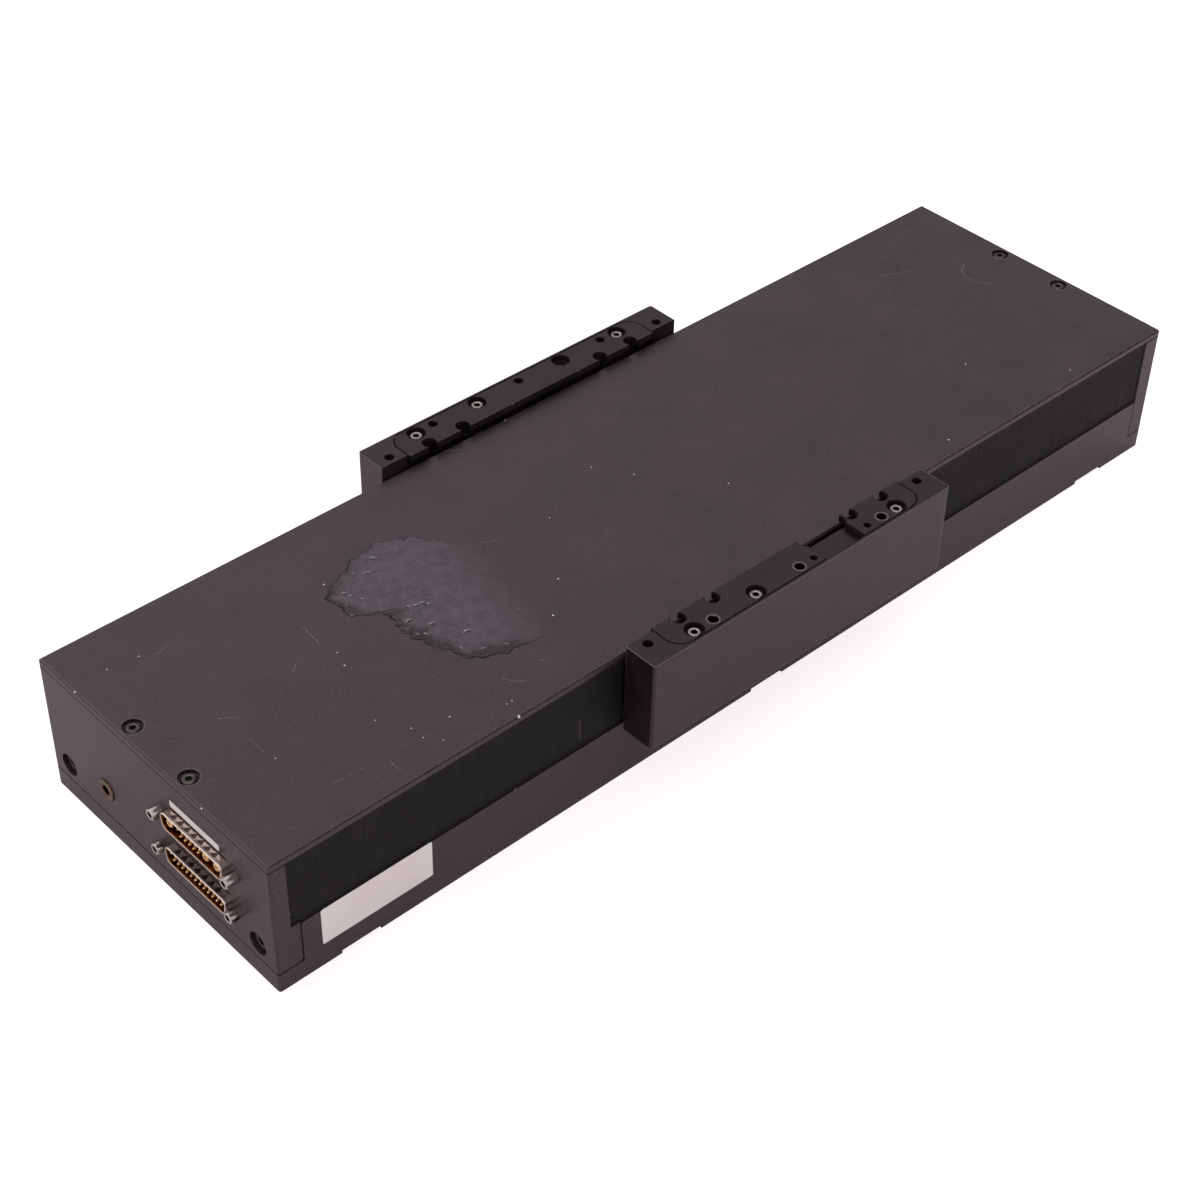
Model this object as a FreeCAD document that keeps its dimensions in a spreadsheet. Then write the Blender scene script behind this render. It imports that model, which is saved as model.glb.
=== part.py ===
import FreeCAD, Part
import math
import os
import re
import Sketcher

# A linear stage with a moving-coil motor. The closed body lies along X with its connector end at -X,
# the origin is in the middle of its underside and +Z is up. The carriage rides on two rails inside and
# reaches out through a slit in each side to a riser bar.

DIMENSIONS = {
    # Closed body
    "body_length": 522,
    "body_width": 150,
    "cover_top": 67.5,
    "cover_thickness": 3,
    "cover_chamfer": 0.8,
    "corner_radius": 1.2,
    "edge_break": 0.35,
    "floor_thickness": 9.5,
    "wall_height": 30,
    "wall_thickness": 18,
    "connector_plate_thickness": 12,
    "plain_plate_thickness": 10,
    "plate_edge_radius": 2,
    # Clamp notches and mounting holes of the base
    "clamp_inset": 39,
    "clamp_width": 19,
    "clamp_depth": 12,
    "clamp_height": 1.5,
    "mount_hole_diameter": 6.6,
    "mount_hole_inset": 19,
    "mount_hole_y": 26,
    # Side seals and the slit that the carriage's arms pass through
    "seal_end_inset": 7.7,
    "seal_thickness": 2,
    "seal_setback": 0.5,
    "seal_flange_width": 8.5,
    "seal_rebate_width": 9.5,
    "lip_height": 1.4,
    "lip_width": 4.5,
    "arm_clearance": 0.5,
    "seal_end_gap": 0.3,
    # Screws of the end plates and the cover
    "plate_screw_inset": 11.7,
    "plate_screw_z": 17.9,
    "plate_screw_head_diameter": 8.5,
    "plate_screw_head_height": 5,
    "plate_screw_sink": 6.5,
    "plate_screw_sink_diameter": 10,
    "plate_screw_socket": 4,
    "cover_screw_inset": 6,
    "cover_screw_y": 18.3,
    "cover_screw_head_diameter": 6.6,
    "cover_screw_head_height": 1.7,
    "cover_screw_sink": 2.2,
    "cover_screw_sink_diameter": 8.7,
    "cover_screw_socket": 2.5,
    "socket_share": 0.6,
    # Connectors, jack posts and plug in the connector end
    "connector_y": -30,
    "power_connector_z": 46.5,
    "signal_connector_z": 27.8,
    "connector_skin": 2,
    "connector_recess_margin": 2.5,
    "shell_half_width": 19.48,
    "shell_half_height": 4.18,
    "shell_taper": 0.1763,
    "shell_wall": 0.5,
    "shell_corner": 2.6,
    "shell_reach": 4,
    "shell_clearance": 0.4,
    "flange_ear": 2.98,
    "flange_height": 12.5,
    "flange_thickness": 1,
    "insulator_sink": 4.5,
    "insulator_depth": 6.5,
    "insulator_clearance": 0.15,
    "contact_pitch": 2.77,
    "contact_row_gap": 2.84,
    "contact_diameter": 1.02,
    "contact_height": 3.8,
    "power_contact_pitch": 6.9,
    "power_contact_diameter": 4.6,
    "power_contact_bore": 3,
    "power_contact_edge": 15,
    "post_gap": 4.04,
    "post_across_flats": 4.76,
    "post_height": 6,
    "post_bore_diameter": 2.5,
    "post_bore_depth": 4,
    "plug_y": 35.3,
    "plug_z": 24.75,
    "plug_diameter": 9.8,
    "plug_depth": 8,
    "plug_proud": 0.8,
    "plug_socket": 4.5,
    "plug_socket_depth": 5,
    "plug_clearance": 0.1,
    # Rails and bearing trucks
    "rail_end_gap": 13,
    "rail_width": 15,
    "rail_height": 13,
    "rail_waist": 1.8,
    "rail_foot": 5,
    "rail_shoulder": 11,
    "truck_end_inset": 5,
    "truck_length": 42,
    "truck_width": 34,
    "truck_wall_gap": 1.5,
    "truck_lift": 4,
    "truck_clearance": 0.4,
    "truck_bevel": 2.5,
    "truck_screw_pitch": 26,
    # Linear motor
    "yoke_truck_gap": 1.5,
    "yoke_wall": 5,
    "yoke_top_gap": 2,
    "magnet_pitch": 24,
    "magnet_length": 20,
    "magnet_back_gap": 1,
    "magnet_thickness": 3,
    "magnet_setback": 2,
    "coil_side_gap": 0.55,
    "coil_running_gap": 0.6,
    "coil_end_inset": 14,
    "forcer_end_inset": 10,
    "forcer_width": 8.5,
    "forcer_truck_gap": 2.4,
    "forcer_lift": 4.5,
    "forcer_screw_x": 45,
    # Carriage inside the body
    "saddle_side_gap": 5,
    "saddle_thickness": 12,
    "arm_thickness": 3.2,
    "arm_drop_gap": 0.6,
    "arm_grip": 8.5,
    "saddle_screw_across_flats": 7,
    "saddle_screw_head_height": 2.8,
    # Position sensing, limits and end stops
    "scale_inset": 12,
    "scale_width": 8,
    "scale_thickness": 0.3,
    "head_length": 24,
    "head_width": 10,
    "head_gap": 0.8,
    "head_ear": 5,
    "head_flange": 3,
    "head_clearance": 0.5,
    "sensor_gap": 1,
    "sensor_length": 11,
    "sensor_width": 10,
    "sensor_height": 13,
    "sensor_slot": 2.4,
    "sensor_slot_depth": 8,
    "flag_thickness": 1,
    "flag_foot": 12,
    "flag_reach": 10,
    "flag_drop": 8,
    "flag_gap": 0.2,
    "bumper_y": 14,
    "bumper_diameter": 14,
    "bumper_length": 16,
    # Riser bars and their inserts
    "riser_half_length": 87.5,
    "riser_side_gap": 1.7,
    "riser_width": 16.3,
    "riser_foot": 4,
    "riser_proud": 5,
    "riser_end_wall": 7.5,
    "riser_corner": 1.2,
    "riser_groove_gap": 0.2,
    "riser_recess": 2.8,
    "access_inner_x": 41,
    "access_outer_x": 60,
    "access_inset": 1.1,
    "access_diameter": 6.4,
    "riser_web": 4.3,
    "riser_screw_head_diameter": 4.5,
    "riser_screw_head_height": 3,
    "end_hole_end_inset": 7.8,
    "end_hole_inset": 4.3,
    "tapped_diameter": 4.2,
    "tapped_depth": 12,
    "insert_end_inset": 14.5,
    "insert_thickness": 3,
    "insert_overhang": 1.4,
    "insert_lip": 1.3,
    "insert_corner": 8,
    "insert_gap": 0.3,
    "near_gap_start": 12,
    "near_gap_end": 35.5,
    "gap_relief_diameter": 7.6,
    "gap_relief_inset": 2,
    "gap_relief_side": 0.5,
    "insert_screw_inset": 6,
    "payload_inset": 5.5,
    "insert_screw_outer_x": 60,
    "insert_screw_inner_x": 25,
    "insert_screw_head_diameter": 5.5,
    "insert_screw_head_height": 1.4,
    "insert_screw_sink": 2.4,
    "insert_screw_sink_diameter": 8.4,
    "insert_screw_socket": 2.5,
    "spare_hole_diameter": 4.4,
    "payload_pitch": 50,
    "dowel_diameter": 3,
    "dowel_long_x": 8.4,
    "dowel_short_x": 41.1,
    # How far a cutting outline runs past an open edge
    "overcut": 1,
}

os.makedirs("parts", exist_ok=True)
doc = FreeCAD.newDocument("linear_stage")
sheet = doc.addObject("Spreadsheet::Sheet", "dims")
for row, (alias, size) in enumerate(DIMENSIONS.items(), start=1):
    sheet.set(f"A{row}", alias)
    sheet.set(f"B{row}", str(size))
    sheet.setAlias(f"B{row}", alias)
doc.recompute()

sub_parts = []


def linked(formula):
    """The formula with each dimension's name pointed at its cell of the sheet."""
    return re.sub(r"[a-z][a-z_]*", lambda name: "dims." + name.group(), str(formula))


def value(formula):
    return float(sheet.evalExpression(linked(formula)))


def bind(target, **formulas):
    for name, formula in formulas.items():
        target.setExpression(name, linked(formula))


def keep(target, label):
    """Marks an object as one finished piece with a name of its own."""
    target.Label = label
    sub_parts.append(target)
    return target


def new_body(label):
    return keep(doc.addObject("PartDesign::Body", label), label)


def new_sketch(body, plane, offset=0):
    """An empty sketch on one of the body's own planes, moved along the plane's normal."""
    sketch = body.newObject("Sketcher::SketchObject", "sketch")
    support = next(f for f in body.Origin.OriginFeatures if f.Role == plane)
    sketch.AttachmentSupport = [(support, "")]
    sketch.MapMode = "FlatFace"
    sketch.setExpression("AttachmentOffset.Base.z", linked(offset))
    return sketch


def pin_point(sketch, edge, end, u, v):
    for kind, formula in (("DistanceX", u), ("DistanceY", v)):
        index = sketch.addConstraint(Sketcher.Constraint(kind, edge, end, value(formula)))
        sketch.setExpression(f"Constraints[{index}]", linked(formula))


def outline(sketch, corners):
    """A closed outline of straight edges through corners that are pairs of formulas."""
    points = [FreeCAD.Vector(value(u), value(v), 0) for u, v in corners]
    first = sketch.GeometryCount
    count = len(points)
    for start, end in zip(points, points[1:] + points[:1]):
        sketch.addGeometry(Part.LineSegment(start, end), False)
    for i in range(count):
        sketch.addConstraint(Sketcher.Constraint("Coincident", first + i, 2, first + (i + 1) % count, 1))
    for i, (u, v) in enumerate(corners):
        pin_point(sketch, first + i, 1, u, v)


def rounded_outline(sketch, corners, radius):
    """A closed outline of straight edges whose corners, taken anticlockwise, are arcs of one radius."""
    points = [FreeCAD.Vector(value(u), value(v), 0) for u, v in corners]
    size = value(radius)
    count = len(points)
    first = sketch.GeometryCount
    arcs = []
    for before, corner, after in zip(points[-1:] + points[:-1], points, points[1:] + points[:1]):
        back = (before - corner).normalize()
        ahead = (after - corner).normalize()
        half_angle = back.getAngle(ahead) / 2
        centre = corner + (back + ahead).normalize() * (size / math.sin(half_angle))
        touch = size / math.tan(half_angle)
        start = corner + back * touch - centre
        end = corner + ahead * touch - centre
        turn = (math.atan2(end.y, end.x) - math.atan2(start.y, start.x)) % (2 * math.pi)
        start_angle = math.atan2(start.y, start.x)
        circle = Part.Circle(centre, FreeCAD.Vector(0, 0, 1), size)
        arcs.append((Part.ArcOfCircle(circle, start_angle, start_angle + turn), centre + start, centre + end))
    for i in range(count):
        sketch.addGeometry(Part.LineSegment(arcs[i][2], arcs[(i + 1) % count][1]), False)
    for arc, _, _ in arcs:
        sketch.addGeometry(arc, False)
    for i, (u, v) in enumerate(corners):
        edge_in, edge_out, arc = first + (i - 1) % count, first + i, first + count + i
        corner = sketch.addGeometry(Part.Point(points[i]), True)
        sketch.addConstraint(Sketcher.Constraint("Tangent", edge_in, 2, arc, 1))
        sketch.addConstraint(Sketcher.Constraint("Tangent", arc, 2, edge_out, 1))
        index = sketch.addConstraint(Sketcher.Constraint("Radius", arc, size))
        sketch.setExpression(f"Constraints[{index}]", linked(radius))
        pin_point(sketch, corner, 1, u, v)
        sketch.addConstraint(Sketcher.Constraint("PointOnObject", corner, 1, edge_in))
        sketch.addConstraint(Sketcher.Constraint("PointOnObject", corner, 1, edge_out))


def rectangle(sketch, u_low, u_high, v_low, v_high):
    outline(sketch, [(u_low, v_low), (u_high, v_low), (u_high, v_high), (u_low, v_high)])


def circles(sketch, diameter, centres):
    radius = f"({diameter}) / 2"
    for u, v in centres:
        centre = FreeCAD.Vector(value(u), value(v), 0)
        edge = sketch.addGeometry(Part.Circle(centre, FreeCAD.Vector(0, 0, 1), value(radius)), False)
        pin_point(sketch, edge, 3, u, v)
        index = sketch.addConstraint(Sketcher.Constraint("Radius", edge, value(radius)))
        sketch.setExpression(f"Constraints[{index}]", linked(radius))


def pad(body, sketch, length):
    feature = body.newObject("PartDesign::Pad", "pad")
    feature.Profile = sketch
    bind(feature, Length=length)
    doc.recompute()


def cut_counts(body, volume_before):
    doc.recompute()
    if not body.Shape.Volume < volume_before:
        raise RuntimeError(f"a cut in {body.Label} removes nothing")


def pocket(body, sketch, depth, along_normal=False):
    """A pocket against the sketch's normal, or along it."""
    volume = body.Shape.Volume
    feature = body.newObject("PartDesign::Pocket", "pocket")
    feature.Profile = sketch
    feature.Reversed = along_normal
    bind(feature, Length=depth)
    cut_counts(body, volume)


def dress(body, kind, size_name, size, chosen):
    """Rounds or bevels the edges that the test picks from the body's present shape."""
    edges = [f"Edge{i}" for i, edge in enumerate(body.Shape.Edges, start=1) if chosen(edge)]
    base = body.Tip
    feature = body.newObject(kind, "dressed")
    feature.Base = (base, edges)
    bind(feature, **{size_name: size})
    doc.recompute()


def near(a, b):
    return abs(a - b) < 1e-4


def along(edge, axis):
    """True for a straight edge that runs along the axis."""
    direction = edge.lastVertex().Point - edge.firstVertex().Point
    return edge.Curve.TypeId == "Part::GeomLine" and near(abs(direction.dot(axis)), edge.Length)


X_AXIS = FreeCAD.Vector(1, 0, 0)
Y_AXIS = FreeCAD.Vector(0, 1, 0)
Z_AXIS = FreeCAD.Vector(0, 0, 1)
DIRECTIONS = {"+x": X_AXIS, "-x": -X_AXIS, "+z": Z_AXIS, "-z": -Z_AXIS}
OPPOSITE = {"+x": "-x", "-x": "+x", "+z": "-z", "-z": "+z"}


def shifted(point, direction, amount):
    """The point, a triple of formulas, moved along the direction."""
    moved = list(point)
    axis = "xyz".index(direction[1])
    moved[axis] = f"({point[axis]}) {direction[0]} ({amount})"
    return tuple(moved)


def set_place(target, point, direction="+z"):
    target.Placement.Rotation = FreeCAD.Rotation(Z_AXIS, DIRECTIONS[direction])
    for axis, formula in zip("xyz", point):
        target.setExpression(f"Placement.Base.{axis}", linked(formula))


def block(x_low, x_high, y_low, y_high, z_low, z_high):
    solid = doc.addObject("Part::Box", "block")
    bind(solid, Length=f"({x_high}) - ({x_low})", Width=f"({y_high}) - ({y_low})")
    bind(solid, Height=f"({z_high}) - ({z_low})")
    set_place(solid, (x_low, y_low, z_low))
    return solid


def rod(diameter, length, start, direction):
    solid = doc.addObject("Part::Cylinder", "rod")
    bind(solid, Radius=f"({diameter}) / 2", Height=length)
    set_place(solid, start, direction)
    return solid


def prism(sides, diameter, length, start, direction):
    """A straight prism whose corners lie on a circle of the given diameter."""
    solid = doc.addObject("Part::Prism", "prism")
    solid.Polygon = sides
    bind(solid, Circumradius=f"({diameter}) / 2", Height=length)
    set_place(solid, start, direction)
    return solid


def hexagon(across_flats, length, start, direction):
    return prism(6, f"2 * ({across_flats}) / 3^0.5", length, start, direction)


def joined(base, tool):
    result = doc.addObject("Part::Fuse", "joined")
    result.Base = base
    result.Tool = tool
    result.Refine = True
    return result


def cut(base, tool):
    result = doc.addObject("Part::Cut", "cut")
    result.Base = base
    result.Tool = tool
    return result


def group(label, solids):
    compound = doc.addObject("Part::Compound", label)
    compound.Links = solids
    return keep(compound, label)


def socket_head(kind, seat, direction):
    """A round screw head that stands on its seat, with a hex socket in its top."""
    height = f"{kind}_head_height"
    head = rod(f"{kind}_head_diameter", height, seat, direction)
    top = shifted(seat, direction, height)
    return cut(head, hexagon(f"{kind}_socket", f"{height} * socket_share", top, OPPOSITE[direction]))


# Planes that several pieces share
HALF_LENGTH = "(body_length / 2)"
HALF_WIDTH = "(body_width / 2)"
CONNECTOR_FACE = "(-body_length / 2)"
CONNECTOR_INSIDE = "(connector_plate_thickness - body_length / 2)"
PLAIN_INSIDE = "(body_length / 2 - plain_plate_thickness)"
COVER_UNDERSIDE = "(cover_top - cover_thickness)"
SADDLE_BOTTOM = "(wall_height + lip_height + arm_drop_gap)"
ARM_TOP = f"({SADDLE_BOTTOM} + arm_thickness)"
SADDLE_TOP = f"({SADDLE_BOTTOM} + saddle_thickness)"
SADDLE_HALF_LENGTH = "(riser_half_length - riser_end_wall)"
RAIL_START = f"({CONNECTOR_INSIDE} + rail_end_gap)"
RAIL_END = f"({PLAIN_INSIDE} - rail_end_gap)"
TRUCK_INNER = f"({HALF_WIDTH} - wall_thickness - truck_wall_gap - truck_width)"
RAIL_Y = f"({TRUCK_INNER} + truck_width / 2)"
FORCER_START = f"({TRUCK_INNER} - forcer_truck_gap - forcer_width)"
YOKE_END = f"({FORCER_START} - coil_running_gap)"
YOKE_START = f"(yoke_truck_gap - {TRUCK_INNER})"
YOKE_TOP = f"({SADDLE_BOTTOM} - yoke_top_gap)"
SCALE_Y = f"({HALF_WIDTH} - scale_inset)"
RISER_INNER = f"({HALF_WIDTH} + riser_side_gap)"
RISER_OUTER = f"({RISER_INNER} + riser_width)"
RISER_TOP = "(cover_top + riser_proud)"
RISER_POCKET_FLOOR = f"({RISER_TOP} - insert_thickness)"
ARM_REACH = f"({RISER_INNER} + arm_grip)"
ACCESS_Y = f"({RISER_INNER} + access_inset)"
ACCESS_FLOOR = f"({ARM_TOP} + riser_web)"
INSERT_INNER = f"({RISER_INNER} - insert_overhang)"
INSERT_SCREW_Y = f"({RISER_OUTER} - insert_screw_inset)"
PAYLOAD_Y = f"({RISER_OUTER} - payload_inset)"
POST_OFFSET = "(shell_half_width + post_gap)"
FLANGE_HALF_LENGTH = f"({POST_OFFSET} + flange_ear)"
SIDES = {"near": "-1", "far": "1"}
BOTH = ("-1", "1")

# Hole places that two or more pieces share
plate_screw_places = [(f"{s} * ({HALF_WIDTH} - plate_screw_inset)", "plate_screw_z") for s in BOTH]
cover_screw_places = [(f"{sx} * ({HALF_LENGTH} - cover_screw_inset)", f"{sy} * cover_screw_y")
                      for sx in BOTH for sy in BOTH]
TRUCK_X = f"({SADDLE_HALF_LENGTH} - truck_end_inset - truck_length / 2)"
truck_places = {f"{side}_{end}_truck": (f"{sx} * {TRUCK_X}", f"{sy} * {RAIL_Y}")
                for side, sy in SIDES.items() for end, sx in (("connector_end", "-1"), ("plain_end", "1"))}
truck_screw_places = [(f"{x} + {sx} * truck_screw_pitch / 2", f"{y} + {sy} * truck_screw_pitch / 2")
                      for x, y in truck_places.values() for sx in BOTH for sy in BOTH]
forcer_screw_places = [(f"{s} * forcer_screw_x", f"{FORCER_START} + forcer_width / 2") for s in BOTH]
access_xs = [f"{s} * {x}" for s in BOTH for x in ("access_inner_x", "access_outer_x")]

# Base: a channel machined from one bar, with lips under the end plates and clamp notches along its foot
base = new_body("base")
floor_outline = new_sketch(base, "XY_Plane")
rectangle(floor_outline, f"-{HALF_LENGTH}", HALF_LENGTH, f"-{HALF_WIDTH}", HALF_WIDTH)
pad(base, floor_outline, "floor_thickness")
dress(base, "PartDesign::Fillet", "Radius", "corner_radius", lambda edge: along(edge, Z_AXIS))
walls = new_sketch(base, "XY_Plane", "floor_thickness")
for s in BOTH:
    rectangle(walls, CONNECTOR_INSIDE, PLAIN_INSIDE,
              f"{s} * ({HALF_WIDTH} - wall_thickness)", f"{s} * {HALF_WIDTH}")
pad(base, walls, "wall_height - floor_thickness")
notches = new_sketch(base, "XY_Plane")
for x in (f"clamp_inset - {HALF_LENGTH}", "0", f"{HALF_LENGTH} - clamp_inset"):
    for s in BOTH:
        rectangle(notches, f"{x} - clamp_width / 2", f"{x} + clamp_width / 2",
                  f"{s} * ({HALF_WIDTH} - clamp_depth)", f"{s} * ({HALF_WIDTH} + overcut)")
pocket(base, notches, "clamp_height", along_normal=True)
mount_holes = new_sketch(base, "XY_Plane", "floor_thickness")
circles(mount_holes, "mount_hole_diameter",
        [(f"{sx} * ({HALF_LENGTH} - mount_hole_inset)", f"{sy} * mount_hole_y")
         for sx in BOTH for sy in BOTH])
pocket(base, mount_holes, "floor_thickness")


# Corners of the tapered connector opening, anticlockwise, grown or shrunk from the outside of the shell
def shell_corners(z, grow):
    top = f"(shell_half_width + ({grow}))"
    half_height = f"(shell_half_height + ({grow}))"
    bottom = f"({top} - 2 * {half_height} * shell_taper)"
    return [(f"connector_y - {bottom}", f"{z} - {half_height}"),
            (f"connector_y + {bottom}", f"{z} - {half_height}"),
            (f"connector_y + {top}", f"{z} + {half_height}"),
            (f"connector_y - {top}", f"{z} + {half_height}")]


CONNECTORS = {"power_connector": "power_connector_z", "signal_connector": "signal_connector_z"}
post_places = [(f"connector_y + {s} * {POST_OFFSET}", z) for z in CONNECTORS.values() for s in BOTH]


# End plates: stand on the base's lips and close both ends under the cover
def end_plate(label, start, thickness, face):
    body = new_body(label)
    face_outline = new_sketch(body, "YZ_Plane", start)
    rectangle(face_outline, f"-{HALF_WIDTH}", HALF_WIDTH, "floor_thickness", COVER_UNDERSIDE)
    pad(body, face_outline, thickness)
    dress(body, "PartDesign::Fillet", "Radius", "corner_radius",
          lambda edge: along(edge, Z_AXIS) and near(edge.CenterOfMass.x, value(face)))
    return body


def screw_sinks(body, face, along_normal):
    """Sinks for the heads of the screws into the base."""
    sinks = new_sketch(body, "YZ_Plane", face)
    circles(sinks, "plate_screw_sink_diameter", plate_screw_places)
    pocket(body, sinks, "plate_screw_sink", along_normal)


def break_joint_edges(body, face, inside):
    """Breaks the edges that meet the cover, the base's lip and the ends of its walls."""
    def on_joint(edge):
        middle = edge.CenterOfMass
        if along(edge, Y_AXIS):
            return near(middle.x, value(face)) and (near(middle.z, value("floor_thickness"))
                                                    or near(middle.z, value(COVER_UNDERSIDE)))
        return (along(edge, Z_AXIS) and near(middle.x, value(inside))
                and near(abs(middle.y), value(HALF_WIDTH)))
    dress(body, "PartDesign::Chamfer", "Size", "edge_break", on_joint)


connector_plate = end_plate("connector_end_plate", CONNECTOR_FACE, "connector_plate_thickness",
                            CONNECTOR_FACE)
dress(connector_plate, "PartDesign::Fillet", "Radius", "plate_edge_radius",
      lambda edge: along(edge, Y_AXIS) and near(edge.CenterOfMass.x, value(CONNECTOR_INSIDE))
      and near(edge.CenterOfMass.z, value("floor_thickness")))
rebates = new_sketch(connector_plate, "XY_Plane", COVER_UNDERSIDE)
for s in BOTH:
    rectangle(rebates, f"seal_end_inset - {HALF_LENGTH}", f"{CONNECTOR_INSIDE} + overcut",
              f"{s} * ({HALF_WIDTH} - seal_rebate_width)", f"{s} * ({HALF_WIDTH} + overcut)")
pocket(connector_plate, rebates, f"{COVER_UNDERSIDE} - wall_height - overcut")
recess = new_sketch(connector_plate, "YZ_Plane", CONNECTOR_INSIDE)
rectangle(recess, f"connector_y - {FLANGE_HALF_LENGTH} - connector_recess_margin",
          f"connector_y + {FLANGE_HALF_LENGTH} + connector_recess_margin",
          "signal_connector_z - flange_height / 2 - connector_recess_margin",
          "power_connector_z + flange_height / 2 + connector_recess_margin")
pocket(connector_plate, recess, "connector_plate_thickness - connector_skin")
windows = new_sketch(connector_plate, "YZ_Plane", f"{CONNECTOR_FACE} + connector_skin")
for z in CONNECTORS.values():
    rounded_outline(windows, shell_corners(z, "shell_clearance"), "shell_corner + shell_clearance")
pocket(connector_plate, windows, "connector_skin")
plug_hole = new_sketch(connector_plate, "YZ_Plane", CONNECTOR_FACE)
circles(plug_hole, "plug_diameter + 2 * plug_clearance", [("plug_y", "plug_z")])
pocket(connector_plate, plug_hole, "plug_depth", along_normal=True)
screw_sinks(connector_plate, CONNECTOR_FACE, along_normal=True)
break_joint_edges(connector_plate, CONNECTOR_FACE, CONNECTOR_INSIDE)

plain_plate = end_plate("plain_end_plate", PLAIN_INSIDE, "plain_plate_thickness", HALF_LENGTH)
screw_sinks(plain_plate, HALF_LENGTH, along_normal=False)
break_joint_edges(plain_plate, HALF_LENGTH, PLAIN_INSIDE)

group("end_plate_screws", [
    socket_head("plate_screw", (seat, y, z), direction)
    for seat, direction in ((f"{CONNECTOR_FACE} + plate_screw_sink", "-x"),
                            (f"{HALF_LENGTH} - plate_screw_sink", "+x"))
    for y, z in plate_screw_places])

# Cover: a flat plate over the whole body, bevelled round its top edge and broken along its lower one
cover = new_body("top_cover")
cover_outline = new_sketch(cover, "XY_Plane", COVER_UNDERSIDE)
rectangle(cover_outline, f"-{HALF_LENGTH}", HALF_LENGTH, f"-{HALF_WIDTH}", HALF_WIDTH)
pad(cover, cover_outline, "cover_thickness")
dress(cover, "PartDesign::Fillet", "Radius", "corner_radius", lambda edge: along(edge, Z_AXIS))
dress(cover, "PartDesign::Chamfer", "Size", "cover_chamfer",
      lambda edge: near(edge.BoundBox.ZMin, value("cover_top")))
dress(cover, "PartDesign::Chamfer", "Size", "edge_break",
      lambda edge: near(edge.BoundBox.ZMax, value(COVER_UNDERSIDE)))
cover_sinks = new_sketch(cover, "XY_Plane", "cover_top")
circles(cover_sinks, "cover_screw_sink_diameter", cover_screw_places)
pocket(cover, cover_sinks, "cover_screw_sink")
group("cover_screws", [socket_head("cover_screw", (x, y, "cover_top - cover_screw_sink"), "+z")
                       for x, y in cover_screw_places])

# Side seals: an upper strip that hangs from the cover and a low lip on the wall, with the slit between
for side, s in SIDES.items():
    outside = f"({HALF_WIDTH} - seal_setback)"
    seal_bottom = f"{ARM_TOP} + arm_clearance"
    upper_seal = new_body(f"{side}_upper_seal")
    seal_profile = new_sketch(upper_seal, "YZ_Plane", f"seal_end_inset + seal_end_gap - {HALF_LENGTH}")
    outline(seal_profile, [(f"{s} * {outside}", seal_bottom),
                           (f"{s} * {outside}", COVER_UNDERSIDE),
                           (f"{s} * ({outside} - seal_flange_width)", COVER_UNDERSIDE),
                           (f"{s} * ({outside} - seal_flange_width)", f"{COVER_UNDERSIDE} - seal_thickness"),
                           (f"{s} * ({outside} - seal_thickness)", f"{COVER_UNDERSIDE} - seal_thickness"),
                           (f"{s} * ({outside} - seal_thickness)", seal_bottom)])
    pad(upper_seal, seal_profile,
        f"{PLAIN_INSIDE} + {HALF_LENGTH} - seal_end_inset - 2 * seal_end_gap")
    edges = sorted([f"{s} * ({outside} - lip_width)", f"{s} * {outside}"], key=value)
    keep(block(f"{CONNECTOR_INSIDE} + seal_end_gap", f"{PLAIN_INSIDE} - seal_end_gap", edges[0], edges[1],
               "wall_height", "wall_height + lip_height"), f"{side}_lower_seal")

# Rails: waisted profile rails on the floor, with the holes over their screws capped flush
for side, s in SIDES.items():
    rail = new_body(f"{side}_rail")
    rail_profile = new_sketch(rail, "YZ_Plane", RAIL_START)
    half_profile = [("rail_width / 2", "floor_thickness"),
                    ("rail_width / 2", "floor_thickness + rail_foot"),
                    ("rail_width / 2 - rail_waist", "floor_thickness + rail_foot + rail_waist"),
                    ("rail_width / 2 - rail_waist", "floor_thickness + rail_shoulder - rail_waist"),
                    ("rail_width / 2", "floor_thickness + rail_shoulder"),
                    ("rail_width / 2", "floor_thickness + rail_height")]
    outline(rail_profile, [(f"{s} * {RAIL_Y} + {u}", v) for u, v in half_profile]
            + [(f"{s} * {RAIL_Y} - ({u})", v) for u, v in reversed(half_profile)])
    pad(rail, rail_profile, f"{RAIL_END} - {RAIL_START}")

# Magnet channel: a steel channel on its side, with a row of magnets on each inner face
yoke = new_body("magnet_yoke")
yoke_profile = new_sketch(yoke, "YZ_Plane", RAIL_START)
GAP_LOW = "(floor_thickness + yoke_wall)"
GAP_HIGH = f"({YOKE_TOP} - yoke_wall)"
outline(yoke_profile, [(YOKE_START, "floor_thickness"),
                       (YOKE_END, "floor_thickness"),
                       (YOKE_END, GAP_LOW),
                       (f"{YOKE_START} + yoke_wall", GAP_LOW),
                       (f"{YOKE_START} + yoke_wall", GAP_HIGH),
                       (YOKE_END, GAP_HIGH),
                       (YOKE_END, YOKE_TOP),
                       (YOKE_START, YOKE_TOP)])
pad(yoke, yoke_profile, f"{RAIL_END} - {RAIL_START}")
magnet_count = int(value(f"({RAIL_END} - {RAIL_START}) / magnet_pitch"))
magnet_xs = [f"({RAIL_START} + {RAIL_END}) / 2 + {i - (magnet_count - 1) / 2} * magnet_pitch"
             for i in range(magnet_count)]
for label, low in (("lower_magnets", GAP_LOW), ("upper_magnets", f"{GAP_HIGH} - magnet_thickness")):
    group(label, [block(f"{x} - magnet_length / 2", f"{x} + magnet_length / 2",
                        f"{YOKE_START} + yoke_wall + magnet_back_gap", f"{YOKE_END} - magnet_setback",
                        low, f"{low} + magnet_thickness") for x in magnet_xs])

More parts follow.
